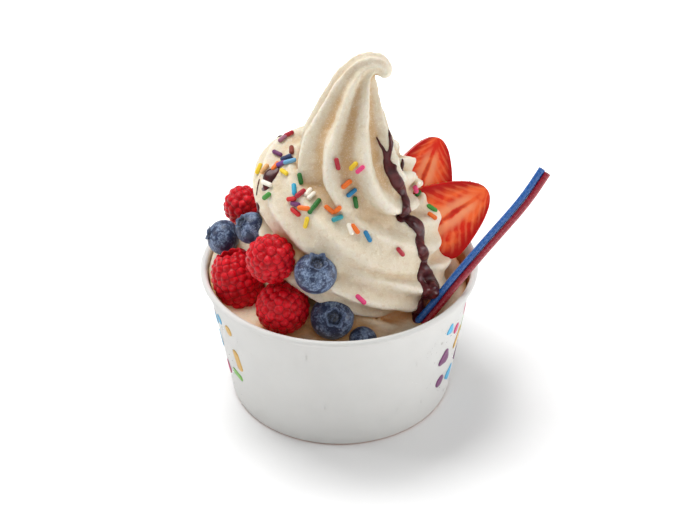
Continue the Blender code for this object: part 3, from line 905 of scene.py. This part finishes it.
def makeSauce():
    deselect()
    bpy.ops.mesh.primitive_ico_sphere_add(subdivisions=2, radius=1.0)
    pattern = bpy.context.object
    drops = []
    runs = [(onFront, run) for run in sauce["frontRuns"].values()]
    runs += [(onSwirl, run) for run in sauce["backRuns"].values()]
    for look, run in runs:
        rows = [(number, *station) for number, station in enumerate(run)]
        steps = (len(rows) - 1) * 24
        track = []
        for k in range(steps + 1):
            first, second, half = (eased(rows, (len(rows) - 1) * k / steps, c) for c in (1, 2, 3))
            spot, normal = look(first, second)
            if spot is None:
                continue
            if not track or (spot - track[-1][0]).length > sauce["step"] * mm:
                track.append((spot, normal, half))
        whole = track[:1]
        for (spot, normal, half), (nextSpot, nextNormal, nextHalf) in zip(track, track[1:]):
            gaps = max(1, round((nextSpot - spot).length / (sauce["step"] * 1.6 * mm)))
            for g in range(1, gaps + 1):
                share = g / gaps
                whole.append((spot.lerp(nextSpot, share), normal.lerp(nextNormal, share).normalized(),
                              half + (nextHalf - half) * share))
        for spot, normal, half in whole:
            half *= sauce["spread"] * (1 + sauce["unevenness"] * noise.noise(spot / mm / 3.6))
            thick = max(sauce["leastThickness"], sauce["thickness"] * half)
            drop = bpy.data.objects.new("drop", pattern.data.copy())
            bpy.context.scene.collection.objects.link(drop)
            turned = normal.to_track_quat("Z", "Y").to_matrix().to_4x4()
            drop.data.transform(Matrix.Translation(spot) @ turned
                                @ Matrix.Diagonal((half * mm, half * mm, thick * mm, 1.0)))
            drops.append(drop)
    bpy.data.objects.remove(pattern)
    piece = joined("chocolate_sauce", drops)
    modify(piece, "REMESH", mode="VOXEL", voxel_size=sauce["voxel"] * mm)
    modify(piece, "SMOOTH", factor=0.5, iterations=40)
    return finished(piece, sauceFinish())


saucePiece = makeSauce()
print("sauce", len(saucePiece.data.polygons))

# sugar sprinkles

sprinkles = {
    "length": 5.0,
    "width": 1.85,
    "tints": {"red": (200, 18, 26), "crimson": (172, 14, 42), "pink": (222, 56, 118), "orange": (238, 112, 20),
              "yellow": (234, 200, 36), "green": (60, 146, 54), "darkGreen": (18, 104, 28), "cyan": (34, 156, 190),
              "blue": (20, 122, 172), "navy": (40, 54, 96), "sky": (104, 164, 204), "violet": (116, 60, 140),
              "purple": (104, 38, 96), "mauve": (156, 98, 124), "white": (248, 240, 226), "teal": (44, 152, 162),
              "tan": (224, 170, 108), "brown": (128, 46, 28)},
    # tint, across and height where the line crosses the cup's middle, turn from level in degrees
    "laid": [("mauve", -21.0, 114.5, 38), ("crimson", -18.5, 116.5, 24), ("purple", -23.0, 108.0, -33),
             ("brown", -17.5, 109.5, -92), ("yellow", -30.0, 101.5, -116), ("tan", -28.0, 101.5, -118),
             ("orange", -24.0, 102.5, -123), ("sky", -18.5, 104.5, 11), ("navy", -19.5, 106.2, 36),
             ("violet", -21.5, 103.5, 29), ("yellow", -20.5, 100.0, -39), ("white", -27.5, 95.0, -29),
             ("green", -27.5, 89.5, 50), ("cyan", -17.0, 92.0, -88), ("darkGreen", -14.5, 97.0, -92),
             ("red", -18.0, 88.0, 7), ("crimson", -15.0, 90.0, 38), ("purple", -16.5, 85.5, -17),
             ("red", -16.5, 82.0, -44), ("orange", -13.5, 83.5, -12), ("white", -12.0, 90.5, 48),
             ("white", -10.8, 88.8, 41), ("darkGreen", -10.6, 82.8, 54), ("darkGreen", -8.6, 85.6, 54),
             ("yellow", -12.5, 77.0, -103), ("orange", -3.5, 82.5, -46), ("orange", 0.0, 83.0, 49),
             ("teal", -0.5, 78.5, 24), ("orange", 6.5, 73.5, -57), ("white", 4.5, 73.5, -75),
             ("blue", 11.5, 70.0, -65), ("crimson", -0.5, 103.5, -80), ("yellow", 6.5, 102.5, 46),
             ("pink", 9.0, 101.0, 45), ("orange", 3.0, 94.5, 47), ("blue", 5.0, 90.5, 47),
             ("darkGreen", 6.5, 86.0, -84), ("crimson", 24.5, 62.5, -55), ("pink", 8.5, 39.0, -48),
             ("pink", 30.0, 92.0, -70), ("darkGreen", 31.5, 89.0, 54), ("green", 36.5, 82.0, -35),
             ("orange", 37.0, 78.5, -37)],
    "more": {"number": 26, "bearings": (50, 118), "aims": (52, 92), "seed": 31},   # round the back
}


def sprinkleSpots():
    # tint, place, normal and direction along the skin
    found = []
    for tint, across, height, turn in sprinkles["laid"]:
        spot, normal = onFront(across, height)
        if spot is None:
            continue
        lean = math.radians(turn)
        start = place(viewer())
        way = place((across + math.cos(lean), 0.0, height + math.sin(lean))) - start
        beside = start + way * ((spot - start).dot(normal) / way.dot(normal))
        found.append((tint, spot, normal, (beside - spot).normalized()))
    more = sprinkles["more"]
    rng = random.Random(more["seed"])
    names = list(sprinkles["tints"])
    for number in range(more["number"]):
        tint = names[rng.randrange(len(names))]
        spot, normal = onSwirl(rng.uniform(*more["bearings"]), rng.uniform(*more["aims"]))
        turn = rng.uniform(-math.pi / 2, math.pi / 2)
        if spot is None:
            continue
        side = Vector((0, 0, 1)).cross(normal).normalized()
        found.append((tint, spot, normal, side * math.cos(turn) + normal.cross(side) * math.sin(turn)))
    return found


def makeSprinkles():
    deselect()
    bpy.ops.mesh.primitive_uv_sphere_add(segments=14, ring_count=9, radius=sprinkles["width"] / 2 * mm)
    pattern = bpy.context.object
    straight = (sprinkles["length"] - sprinkles["width"]) * mm
    for vertex in pattern.data.vertices:
        vertex.co.z += math.copysign(straight / 2, vertex.co.z) if abs(vertex.co.z) > 1e-6 else 0.0
    rng = random.Random(4)
    made, tints = [], []
    lift = 0.62 * sprinkles["width"] / 2 * mm
    for tint, spot, normal, way in sprinkleSpots():
        ends = []
        for reach in (-0.5, 0.5):
            near, nearNormal, _, _ = yogurtTree.find_nearest(spot + normal * 0.3 * mm + way * reach * straight)
            ends.append(near + nearNormal * lift)
        middle = (ends[0] + ends[1]) / 2
        near, nearNormal, _, _ = yogurtTree.find_nearest(middle)
        sunk = lift - (middle - near).dot(nearNormal)
        middle += nearNormal * max(0.0, min(sunk, 2 * lift))
        along = (ends[1] - ends[0]).normalized()
        piece = bpy.data.objects.new("sprinkle", pattern.data.copy())
        bpy.context.scene.collection.objects.link(piece)
        size = Matrix.Diagonal((rng.uniform(0.94, 1.06),) * 2 + (rng.uniform(0.9, 1.06), 1.0))
        piece.data.transform(Matrix.Translation(middle) @ along.to_track_quat("Z", "Y").to_matrix().to_4x4() @ size)
        colour = piece.data.color_attributes.new("tint", "FLOAT_COLOR", "POINT")
        colour.data.foreach_set("color", list(paint(*sprinkles["tints"][tint])) * len(piece.data.vertices))
        made.append(piece)
    bpy.data.objects.remove(pattern)
    piece = joined("sugar_sprinkles", made)
    sugar = Finish("sugarGlaze", {"Specular IOR Level": 0.22, "Coat Weight": 0.05, "Coat Roughness": 0.25,
                                  "Subsurface Weight": 0.08, "Subsurface Radius": (1.0, 1.0, 1.0),
                                  "Subsurface Scale": 0.0006})
    blotch = sugar.cloud(0.8, detail=3.0)
    base = sugar.mix(sugar.attribute("tint", "Color"), (1.0, 0.98, 0.94, 1.0), 0.05 * blotch)
    return finished(piece, sugar.set({"Base Color": base, "Roughness": 0.34 + 0.2 * blotch,
                                      "Normal": sugar.relief(blotch, 0.05)}))


makeSprinkles()
print("sprinkles")

# raspberries

raspberry = {
    "sizes": {"raspberry_1": (10.1, 10.5), "raspberry_2": (9.2, 9.8), "raspberry_3": (9.7, 13.6),
              "raspberry_4": (8.1, 8.7)},        # half width and half length
    "ways": {"raspberry_1": (-0.10, -0.83, 0.50), "raspberry_2": (0.05, -0.60, 0.80),
             "raspberry_3": (0.27, -0.31, -0.91), "raspberry_4": (-0.20, -0.45, 0.87)},   # stalk to far end
    "hollow": ("raspberry_3",),
    "drupelet": 3.7,
    "voxel": 0.30,
    "taper": 0.10,
    "mouth": 0.46,
    "seed": 3,
}


def raspberryFinish():
    red = Finish("raspberryRed", {"Specular IOR Level": 0.20, "Subsurface Weight": 0.18,
                                  "Subsurface Radius": (1.0, 0.06, 0.08), "Subsurface Scale": 0.0012})
    crease = red.attribute("crease")                        # 0 between drupelets, 1 on top of one
    patch = red.cloud(3.0, detail=2.0)
    fine = red.cloud(0.35, detail=3.0)
    body = red.mix(paint(180, 6, 18), paint(216, 16, 34), red.rise(patch, 0.35, 0.65))
    # painted shade in the creases between drupelets
    deep = red.mix(paint(146, 4, 18), body, red.rise(crease, 0.0, 0.24))
    # painted highlight, pink, on the drupelets' tops
    base = red.mix(deep, paint(240, 84, 100), 0.50 * red.rise(crease, 0.5, 1.0) * red.rise(fine, 0.4, 0.75))
    return red.set({"Base Color": base, "Roughness": 0.26 + 0.20 * fine, "Normal": red.relief(fine, 0.025)})


def dome(size):
    # one drupelet: the outer part of a ball
    deselect()
    bpy.ops.mesh.primitive_uv_sphere_add(segments=14, ring_count=10, radius=size * mm)
    return bpy.context.object


def makeRaspberry(name, finish):
    halfWidth, halfLength = raspberry["sizes"][name]
    rng = random.Random(raspberry["seed"] + len(name) + int(name[-1]))
    size = raspberry["drupelet"]
    inner = size * 0.42                                 # the drupelets' middles lie this far in
    pattern = dome(1.0)
    patternMesh = pattern.data
    made, middles = [], []
    first = 0.20 if name not in raspberry["hollow"] else math.asin(raspberry["mouth"]) - 0.04
    polar, row = first, 0
    spots = []
    while polar < math.pi - 0.24:
        wide = (halfWidth - inner) * math.sin(polar) * (1 + raspberry["taper"] * math.cos(polar))
        count = max(5, round(2 * math.pi * (wide + inner * math.sin(polar)) / (size * 0.97)))
        for k in range(count):
            spots.append((polar + rng.uniform(-0.05, 0.05),
                          2 * math.pi * (k + 0.5 * (row % 2) + rng.uniform(-0.12, 0.12)) / count))
        polar += size * 0.80 / halfLength
        row += 1
    spots.append((math.pi - 0.02, 0.0))
    for polar, angle in spots:
        taper = 1 + raspberry["taper"] * math.cos(polar)
        flat = (halfWidth - inner) * math.sin(polar) * taper
        spot = Vector((flat * math.cos(angle), flat * math.sin(angle), -(halfLength - inner) * math.cos(polar)))
        normal = Vector((spot.x / halfWidth**2, spot.y / halfWidth**2, spot.z / halfLength**2)).normalized()
        middles.append(tuple(spot))
        drupelet = bpy.data.objects.new("drupelet", patternMesh.copy())
        bpy.context.scene.collection.objects.link(drupelet)
        grown = rng.uniform(0.90, 1.12)
        shape = Matrix.Diagonal((0.54 * size * grown * mm, 0.54 * size * grown * mm, 0.56 * size * mm, 1.0))
        drupelet.data.transform(Matrix.Translation(spot * mm) @ normal.to_track_quat("Z", "Y").to_matrix().to_4x4()
                                @ Matrix.Diagonal((1 / mm,) * 3 + (1.0,)) @ shape)
        made.append(drupelet)
    bpy.data.objects.remove(pattern)
    deselect()
    bpy.ops.mesh.primitive_uv_sphere_add(segments=32, ring_count=24, radius=1.0)
    core = bpy.context.object
    core.data.transform(Matrix.Diagonal(((halfWidth - 1.1) * mm, (halfWidth - 1.1) * mm,
                                         (halfLength - 1.1) * mm, 1.0)))
    piece = joined(name + "_fruit", made + [core])
    modify(piece, "REMESH", mode="VOXEL", voxel_size=raspberry["voxel"] * mm)
    if name in raspberry["hollow"]:
        cutHollow(piece, halfWidth, halfLength)
    modify(piece, "SMOOTH", factor=0.5, iterations=7)
    # how much nearer each point is to its own drupelet's middle than to the next one's
    reaches = np.linalg.norm(points(piece)[:, None, :] / mm - np.array(middles)[None, :, :], axis=2)
    reaches.partition(1, axis=1)
    storeValues(piece, "crease", np.clip((reaches[:, 1] - reaches[:, 0]) / (0.5 * size), 0, 1))
    way = Vector(raspberry["ways"][name]).normalized()
    turn = Vector((0, 0, 1)).rotation_difference(way).to_matrix().to_4x4()
    piece.matrix_basis = Matrix.Translation(place(middleOf(name))) @ turn
    return finished(piece, finish, [name])


def cutHollow(piece, halfWidth, halfLength):
    # the cup that the stalk leaves
    deselect()
    bpy.ops.mesh.primitive_uv_sphere_add(segments=28, ring_count=20, radius=1.0)
    cutter = bpy.context.object
    wide = raspberry["mouth"] * halfWidth
    cutter.data.transform(Matrix.Translation((0, 0, -halfLength * 0.80 * mm))
                          @ Matrix.Diagonal((wide * mm, wide * mm, halfLength * 0.95 * mm, 1.0)))
    cut = piece.modifiers.new("hollow", "BOOLEAN")
    cut.operation = "DIFFERENCE"
    cut.object = cutter
    useOnly(piece)
    bpy.ops.object.modifier_apply(modifier=cut.name)
    bpy.data.objects.remove(cutter)
    modify(piece, "REMESH", mode="VOXEL", voxel_size=raspberry["voxel"] * mm)


raspberryRed = raspberryFinish()
berryPieces = [makeRaspberry(name, raspberryRed) for name in raspberry["sizes"]]
print("raspberries")

# blueberries

blueberry = {
    "radii": {"blueberry_1": 8.4, "blueberry_2": 8.1, "blueberry_3": 5.7, "blueberry_4": 7.1, "blueberry_5": 6.4},
    "crowns": {"blueberry_1": (0.12, -0.80, 0.59), "blueberry_2": (0.14, -0.37, 0.92),
               "blueberry_3": (0.45, 0.50, -0.74), "blueberry_4": (-0.90, -0.11, 0.38),
               "blueberry_5": (-0.66, -0.25, 0.71)},
    "lobeLift": {"blueberry_4": 0.5, "blueberry_5": 0.55},     # smaller crowns than the others'
    "flattening": 0.9,
    "segments": 90,
    "rings": 64,
    "crownShare": 0.42,      # of the rings
    "crownAngle": 0.36,      # radians from the middle
    # share from edge to middle, width, height, and how far the five lobes lift and spread
    "crownProfile": [(0.0, 0.352, 0.842, 0.0, 0.0), (0.12, 0.348, 0.862, 0.02, 0.02),
                     (0.25, 0.352, 0.875, 0.08, 0.07), (0.38, 0.360, 0.880, 0.15, 0.18),
                     (0.46, 0.325, 0.872, 0.13, 0.14), (0.58, 0.270, 0.800, 0.03, 0.04),
                     (0.70, 0.240, 0.745, 0.0, 0.0), (0.82, 0.180, 0.715, 0.0, 0.0),
                     (0.92, 0.080, 0.712, 0.0, 0.0), (1.0, 0.0, 0.730, 0.0, 0.0)],
}


def blueberryFinish():
    skin = Finish("blueberrySkin", {"Specular IOR Level": 0.42, "Subsurface Weight": 0.05,
                                    "Subsurface Radius": (0.3, 0.2, 0.6), "Subsurface Scale": 0.001,
                                    "Sheen Weight": 0.05, "Sheen Tint": (0.75, 0.85, 1.0, 1.0)})
    patches = skin.cloud(3.6, detail=5.0, roughness=0.62)
    specks = skin.cloud(0.8, detail=4.0, roughness=0.72)
    rubbed = skin.cloud(2.0, detail=3.0, roughness=0.6)
    dark = skin.mix(paint(26, 36, 60), paint(44, 58, 92), rubbed)
    bloom = skin.mix(paint(84, 104, 138), paint(158, 178, 206), skin.rise(specks, 0.36, 0.72))
    cover = skin.rise(patches + 0.36 * (specks - 0.5), 0.42, 0.62)
    coat = skin.mix(dark, bloom, 0.80 * cover)
    dish = skin.mix(paint(20, 24, 36), paint(80, 92, 120), skin.rise(specks, 0.4, 0.7))
    rimmed = skin.mix(coat, skin.mix(dark, bloom, 0.45), skin.attribute("lobe"))
    base = skin.mix(rimmed, dish, skin.attribute("crown"))
    return skin.set({"Base Color": base, "Roughness": 0.34 + 0.28 * cover,
                     "Normal": skin.relief(specks, 0.08)})


def makeBlueberry(name, finish):
    deselect()
    bpy.ops.mesh.primitive_uv_sphere_add(segments=blueberry["segments"], ring_count=blueberry["rings"], radius=1.0)
    piece = bpy.context.object
    piece.name = name + "_fruit"
    radius = blueberry["radii"][name]
    rng = random.Random(int(name[-1]))
    lobes = [rng.uniform(0.75, 1.15) * blueberry["lobeLift"].get(name, 1.0) for _ in range(5)]
    shift = rng.uniform(0, 2 * math.pi)
    share, edge = blueberry["crownShare"], blueberry["crownAngle"]
    shaped, crown, lobed = [], [], []
    for spot in points(piece):
        spread = math.hypot(spot[0], spot[1])
        u = math.atan2(spread, spot[2]) / math.pi
        turn = math.atan2(spot[1], spot[0])
        if u < share:
            s = 1 - u / share
            lobe = (turn + shift) / (2 * math.pi) * 5
            point = 1 - abs(lobe % 1 - 0.5) * 2
            lift = point ** 0.8 * lobes[int(lobe % 5)]
            wide = eased(blueberry["crownProfile"], s, 1) + lift * eased(blueberry["crownProfile"], s, 4)
            high = eased(blueberry["crownProfile"], s, 2) + lift * eased(blueberry["crownProfile"], s, 3)
            crown.append(min(1.0, max(0.0, (s - 0.46) / 0.12)))
            lobed.append(min(1.0, max(0.0, (s - 0.12) / 0.12)))
        else:
            polar = edge + (math.pi - edge) * (u - share) / (1 - share)
            wide = math.sin(polar)
            high = blueberry["flattening"] * math.cos(polar)
            crown.append(0.0)
            lobed.append(0.0)
        dent = 1 + 0.012 * noise.noise(Vector(spot) * 1.7 + Vector((radius, 0, 0)))
        shaped.append((wide * dent * math.cos(turn), wide * dent * math.sin(turn), high * dent))
    movePoints(piece, np.array(shaped) * radius * mm)
    storeValues(piece, "crown", np.array(crown))
    storeValues(piece, "lobe", np.array(lobed))
    way = Vector(blueberry["crowns"][name]).normalized()
    turned = Vector((0, 0, 1)).rotation_difference(way).to_matrix().to_4x4()
    piece.matrix_basis = Matrix.Translation(place(middleOf(name))) @ turned
    return finished(piece, finish, [name])


blueberrySkin = blueberryFinish()
berryPieces += [makeBlueberry(name, blueberrySkin) for name in blueberry["radii"]]
print("blueberries")

# strawberry slices

strawberry = {
    # rounded point, direction to the leaf end, direction across, length, width
    "slices": {
        "strawberry_slice_1": ((40.6, 29.1, 98.2), (-0.357, -0.477, -0.803), (0.924, -0.051, -0.380), 30.0, 29.5),
        "strawberry_slice_2": ((59.9, 15.0, 81.6), (-0.841, -0.349, -0.412), (0.522, -0.328, -0.787), 32.0, 33.5),
    },
    "thickness": 4.4,
    "shoulder": 9,
    "fullness": 1.13,
    "columns": 48,
    "rows": 64,
    "seedSpacing": 3.6,
}


def sliceHalfWidth(share, width):
    share = min(max(share, 0.0), 1.0)
    return 0.5 * width * strawberry["fullness"] * math.sqrt(share * (1 - share ** strawberry["shoulder"]))


def strawberryFinish():
    flesh = Finish("strawberryFlesh", {"Specular IOR Level": 0.22, "Subsurface Weight": 0.25,
                                       "Subsurface Radius": (1.0, 0.22, 0.10), "Subsurface Scale": 0.0022,
                                       "Coat Roughness": 0.12})
    cut = flesh.attribute("cut", "Vector")
    split = flesh.tree.nodes.new("ShaderNodeSeparateXYZ")
    flesh.join(cut, split.inputs[0])
    across, along, skin = (Value(flesh, split.outputs[i]) for i in range(3))
    off = flesh.node("Math", {"operation": "ABSOLUTE"}, {0: across})
    wander = flesh.cloud(3.5, detail=3.0) - 0.5
    broad = flesh.cloud(9.0, detail=2.0)
    fine = flesh.cloud(0.7, detail=4.0, roughness=0.65)
    # soft fibres fan out from the core, one towards each seed
    sweep = along * 26.0 - off * 9.0 + wander * 2.2
    wave = 0.5 + 0.5 * flesh.node("Math", {"operation": "SINE"}, {0: sweep * 2.0})
    fibres = flesh.rise(wave, 0.35, 1.0) * flesh.rise(off, 0.14, 0.42) * (1 - flesh.rise(off, 0.72, 0.95))
    body = flesh.mix(paint(220, 38, 10), paint(248, 108, 52), flesh.rise(broad + wander * 0.4, 0.36, 0.62))
    outer = flesh.mix(body, paint(184, 12, 5), flesh.rise(off + wander * 0.35, 0.50, 0.90))
    lined = flesh.mix(outer, paint(252, 150, 102), 0.26 * fibres)
    # pale bands beside a narrow hollow in the middle, with painted shade in the hollow
    core = off + wander * 0.10
    pale = flesh.rise(core, 0.05, 0.13) * (1 - flesh.rise(core, 0.18, 0.42)) * flesh.rise(along, 0.10, 0.36)
    banded = flesh.mix(lined, paint(250, 172, 124), 0.70 * pale)
    # painted shade along the hollow
    hollow = (1 - flesh.rise(core, 0.02, 0.085)) * flesh.rise(along, 0.22, 0.40)
    hollowShade = flesh.mix(banded, paint(184, 26, 8), 0.60 * hollow)
    rim = flesh.mix(hollowShade, paint(160, 8, 5), skin)
    height = wave * 0.25 + fine * 0.6 - hollow * 1.2
    return flesh.set({"Base Color": rim, "Roughness": 0.28 + 0.25 * fine, "Coat Weight": 0.06 * (1 - fine),
                      "Normal": flesh.relief(height, 0.14)})


def makeSlice(name, finish):
    tip, along, across, length, width = strawberry["slices"][name]
    deselect()
    bpy.ops.mesh.primitive_grid_add(x_subdivisions=strawberry["columns"], y_subdivisions=strawberry["rows"], size=2)
    piece = bpy.context.object
    piece.name = name + "_cut"
    spots = points(piece)
    shaped = []
    for x, y, _ in spots:
        share = (1 - math.cos(math.pi * (0.5 + 0.5 * y) ** 0.98)) / 2
        half = sliceHalfWidth(max(share, 0.0004), width)
        notch = 1 - 0.03 * (1 - x * x) * max(0.0, share - 0.9) / 0.1
        shaped.append((x * half * mm, length * share * notch * mm, 0.0))
    movePoints(piece, shaped)
    useOnly(piece)
    bpy.ops.object.mode_set(mode="EDIT")
    bpy.ops.mesh.select_all(action="SELECT")
    bpy.ops.mesh.remove_doubles(threshold=2e-5)
    bpy.ops.object.mode_set(mode="OBJECT")
    modify(piece, "SOLIDIFY", thickness=strawberry["thickness"] * mm, offset=0.0)
    modify(piece, "BEVEL", width=1.1 * mm, segments=4, limit_method="ANGLE", angle_limit=math.radians(50))
    outward(piece)
    spots = points(piece) / mm
    cut = []
    for i, (x, y, z) in enumerate(spots):
        share = min(max(y / length, 0.0), 1.0)
        half = max(sliceHalfWidth(share, width), 0.3)
        edge = min(1.0, max(0.0, (strawberry["thickness"] / 2 - abs(z)) / 0.5))
        side = abs(x) / half
        cut.append((max(-1.2, min(1.2, x / half)), share, edge * (1.0 if side > 0.8 or share < 0.05 else 0.0)))
        dent = 0.35 * math.exp(-((x / 1.6) ** 2)) * min(1.0, max(0.0, (share - 0.25) / 0.15))
        swell = 0.18 * noise.noise(Vector((x / 4.0, y / 4.0, 3.0)))
        flat = 1.0 if abs(z) > strawberry["thickness"] / 2 - 0.3 else 0.0
        spots[i, 2] += math.copysign(1.0, z) * flat * (swell - dent)
    movePoints(piece, spots * mm)
    storeValues(piece, "cut", np.array(cut))
    along, across = Vector(along).normalized(), Vector(across)
    across = (across - along * across.dot(along)).normalized()
    through = across.cross(along)
    turned = Matrix((across, along, through)).transposed().to_4x4()
    turned.translation = place(tip)
    piece.matrix_basis = turned
    return finished(piece, finish, [name]), turned


def makeSeeds(turns):
    # seeds in the skin all along the slices' edges
    rng = random.Random(11)
    made = []
    for name, turned in turns.items():
        _, _, _, length, width = strawberry["slices"][name]
        for side in (-1, 1):
            share = 0.04
            while share < 0.9:
                half = sliceHalfWidth(share, width)
                slope = (sliceHalfWidth(share + 0.01, width) - half) / (0.01 * length)
                normal = Vector((side, -slope, 0)).normalized()
                deselect()
                bpy.ops.mesh.primitive_uv_sphere_add(segments=12, ring_count=8, radius=1.0)
                seed = bpy.context.object
                depth = rng.uniform(-1.3, 1.3)
                spot = Vector((side * half, length * share, depth)) - normal * 0.05
                seed.data.transform(turned @ Matrix.Translation(spot * mm)
                                    @ normal.to_track_quat("Z", "Y").to_matrix().to_4x4()
                                    @ Matrix.Diagonal((0.45 * mm, 0.75 * mm, 0.32 * mm, 1.0)))
                made.append(seed)
                share += strawberry["seedSpacing"] * rng.uniform(0.8, 1.2) / length / math.hypot(1, slope)
    piece = joined("strawberry_seeds", made)
    husk = Finish("seedHusk", {"Roughness": 0.4})
    tone = husk.mix(paint(196, 140, 62), paint(150, 92, 40), husk.cloud(1.4))
    return finished(piece, husk.set({"Base Color": tone}))


flesh = strawberryFinish()
slicePieces, sliceTurns = [], {}
for name in strawberry["slices"]:
    madeSlice, sliceTurns[name] = makeSlice(name, flesh)
    slicePieces.append(madeSlice)
makeSeeds(sliceTurns)
print("strawberry slices")

# stirring straws

straw = {
    "route": [(24.5, -31.5, 38.0), (31.0, -28.9, 47.0), (36.5, -26.8, 53.5), (44.9, -23.4, 63.8),
              (56.4, -18.7, 76.8), (67.8, -14.1, 89.2), (73.5, -11.8, 96.4), (78.8, -9.5, 104.5)],
    "across": (-0.76, 0.36, 0.54),
    "spacing": 2.66,
    "radius": 1.32,
    "bore": 1.05,
    "points": 40,
    "sides": 28,
    "tints": {"straw_blue": ((10, 68, 152), (60, 150, 222)), "straw_red": ((140, 6, 34), (184, 22, 52))},
}


def strawFinish(name, deep, light):
    plastic = Finish(name + "Plastic", {"Specular IOR Level": 0.9, "IOR": 1.49, "Subsurface Weight": 0.10,
                                        "Subsurface Radius": (0.5, 0.5, 0.5), "Subsurface Scale": 0.001})
    streaks = plastic.cloud(1.2, detail=2.0)
    base = plastic.mix(paint(*deep), paint(*light), 0.45 * streaks)
    return plastic.set({"Base Color": base, "Roughness": 0.22 + 0.10 * streaks,
                        "Normal": plastic.relief(plastic.cloud(0.5), 0.012)})


def makeStraw(name, side):
    rows = [(number, *spot) for number, spot in enumerate(straw["route"])]
    across = Vector(straw["across"]).normalized() * side * straw["spacing"] / 2
    last = len(rows) - 1
    route = []
    for k in range(straw["points"]):
        at = last * k / (straw["points"] - 1)
        route.append(Vector([eased(rows, at, c) for c in (1, 2, 3)]) + across)
    rings = {straw["radius"]: [], straw["bore"]: []}
    for i, spot in enumerate(route):
        heading = (route[min(i + 1, len(route) - 1)] - route[max(i - 1, 0)]).normalized()
        sideways = heading.cross(Vector((0, 0, 1))).normalized()
        over = sideways.cross(heading)
        for radius, made in rings.items():
            turns = [2 * math.pi * k / straw["sides"] for k in range(straw["sides"])]
            made.append([place(spot + (sideways * math.cos(t) + over * math.sin(t)) * radius) for t in turns])
    piece = fromRings(name + "_tube", rings[straw["radius"]] + rings[straw["bore"]][::-1], closedEnds=False)
    finished(piece, strawFinish(name, *straw["tints"][name]), [name])
    useOnly(piece)
    bpy.ops.object.shade_smooth_by_angle(angle=math.radians(40))
    return piece


strawPieces = [makeStraw("straw_blue", 1), makeStraw("straw_red", -1)]
print("straws")


def shelterValues(piece, others, directions=20, reach=16.0):
    # how closed-in each point is, from 0 in the open to 1 in a deep crease
    tree = treeOf(piece, *others)
    spots, ways = points(piece), normals(piece)
    rng = random.Random(5)
    fan = []
    for k in range(directions):
        rise = math.sqrt((k + 0.5) / directions)
        turn = k * math.pi * (3 - math.sqrt(5))
        flat = math.sqrt(1 - rise * rise)
        fan.append((flat * math.cos(turn), flat * math.sin(turn), rise))
    values = np.zeros(len(spots))
    limit = reach * mm
    for i in range(len(spots)):
        up = Vector(ways[i])
        side = up.orthogonal().normalized()
        over = up.cross(side)
        start = Vector(spots[i]) + up * (0.15 * mm)
        spin = rng.uniform(0, math.pi / 2)
        c, s = math.cos(spin), math.sin(spin)
        blocked = 0.0
        for x, y, z in fan:
            way = side * (x * c - y * s) + over * (x * s + y * c) + up * z
            distance = tree.ray_cast(start, way, limit)[3]
            if distance is not None:
                blocked += 1 - 0.6 * distance / limit
        values[i] = blocked / directions
    return shared(piece, values, 6)               # which takes the speckle out


# height share for the painted shade on the low fill
storeValues(yogurt, "low", np.clip((fill["lowShadeBelow"] - points(yogurt)[:, 2] / mm) / 4.0, 0, 1))
# height share for the painted shade on the top of the swirl
storeValues(yogurt, "upper", np.clip((points(yogurt)[:, 2] / mm - 92.0) / 18.0, 0, 1))
storeValues(yogurt, "crest", standOut(yogurt, swirl["creaseRounds"]))
# how closed-in the yogurt is, for its painted shade
storeValues(yogurt, "shelter", shelterValues(yogurt, berryPieces + slicePieces + strawPieces + [cupBody]))
finished(yogurt, yogurtFinish(), ["yogurt"])
print("yogurt shading")
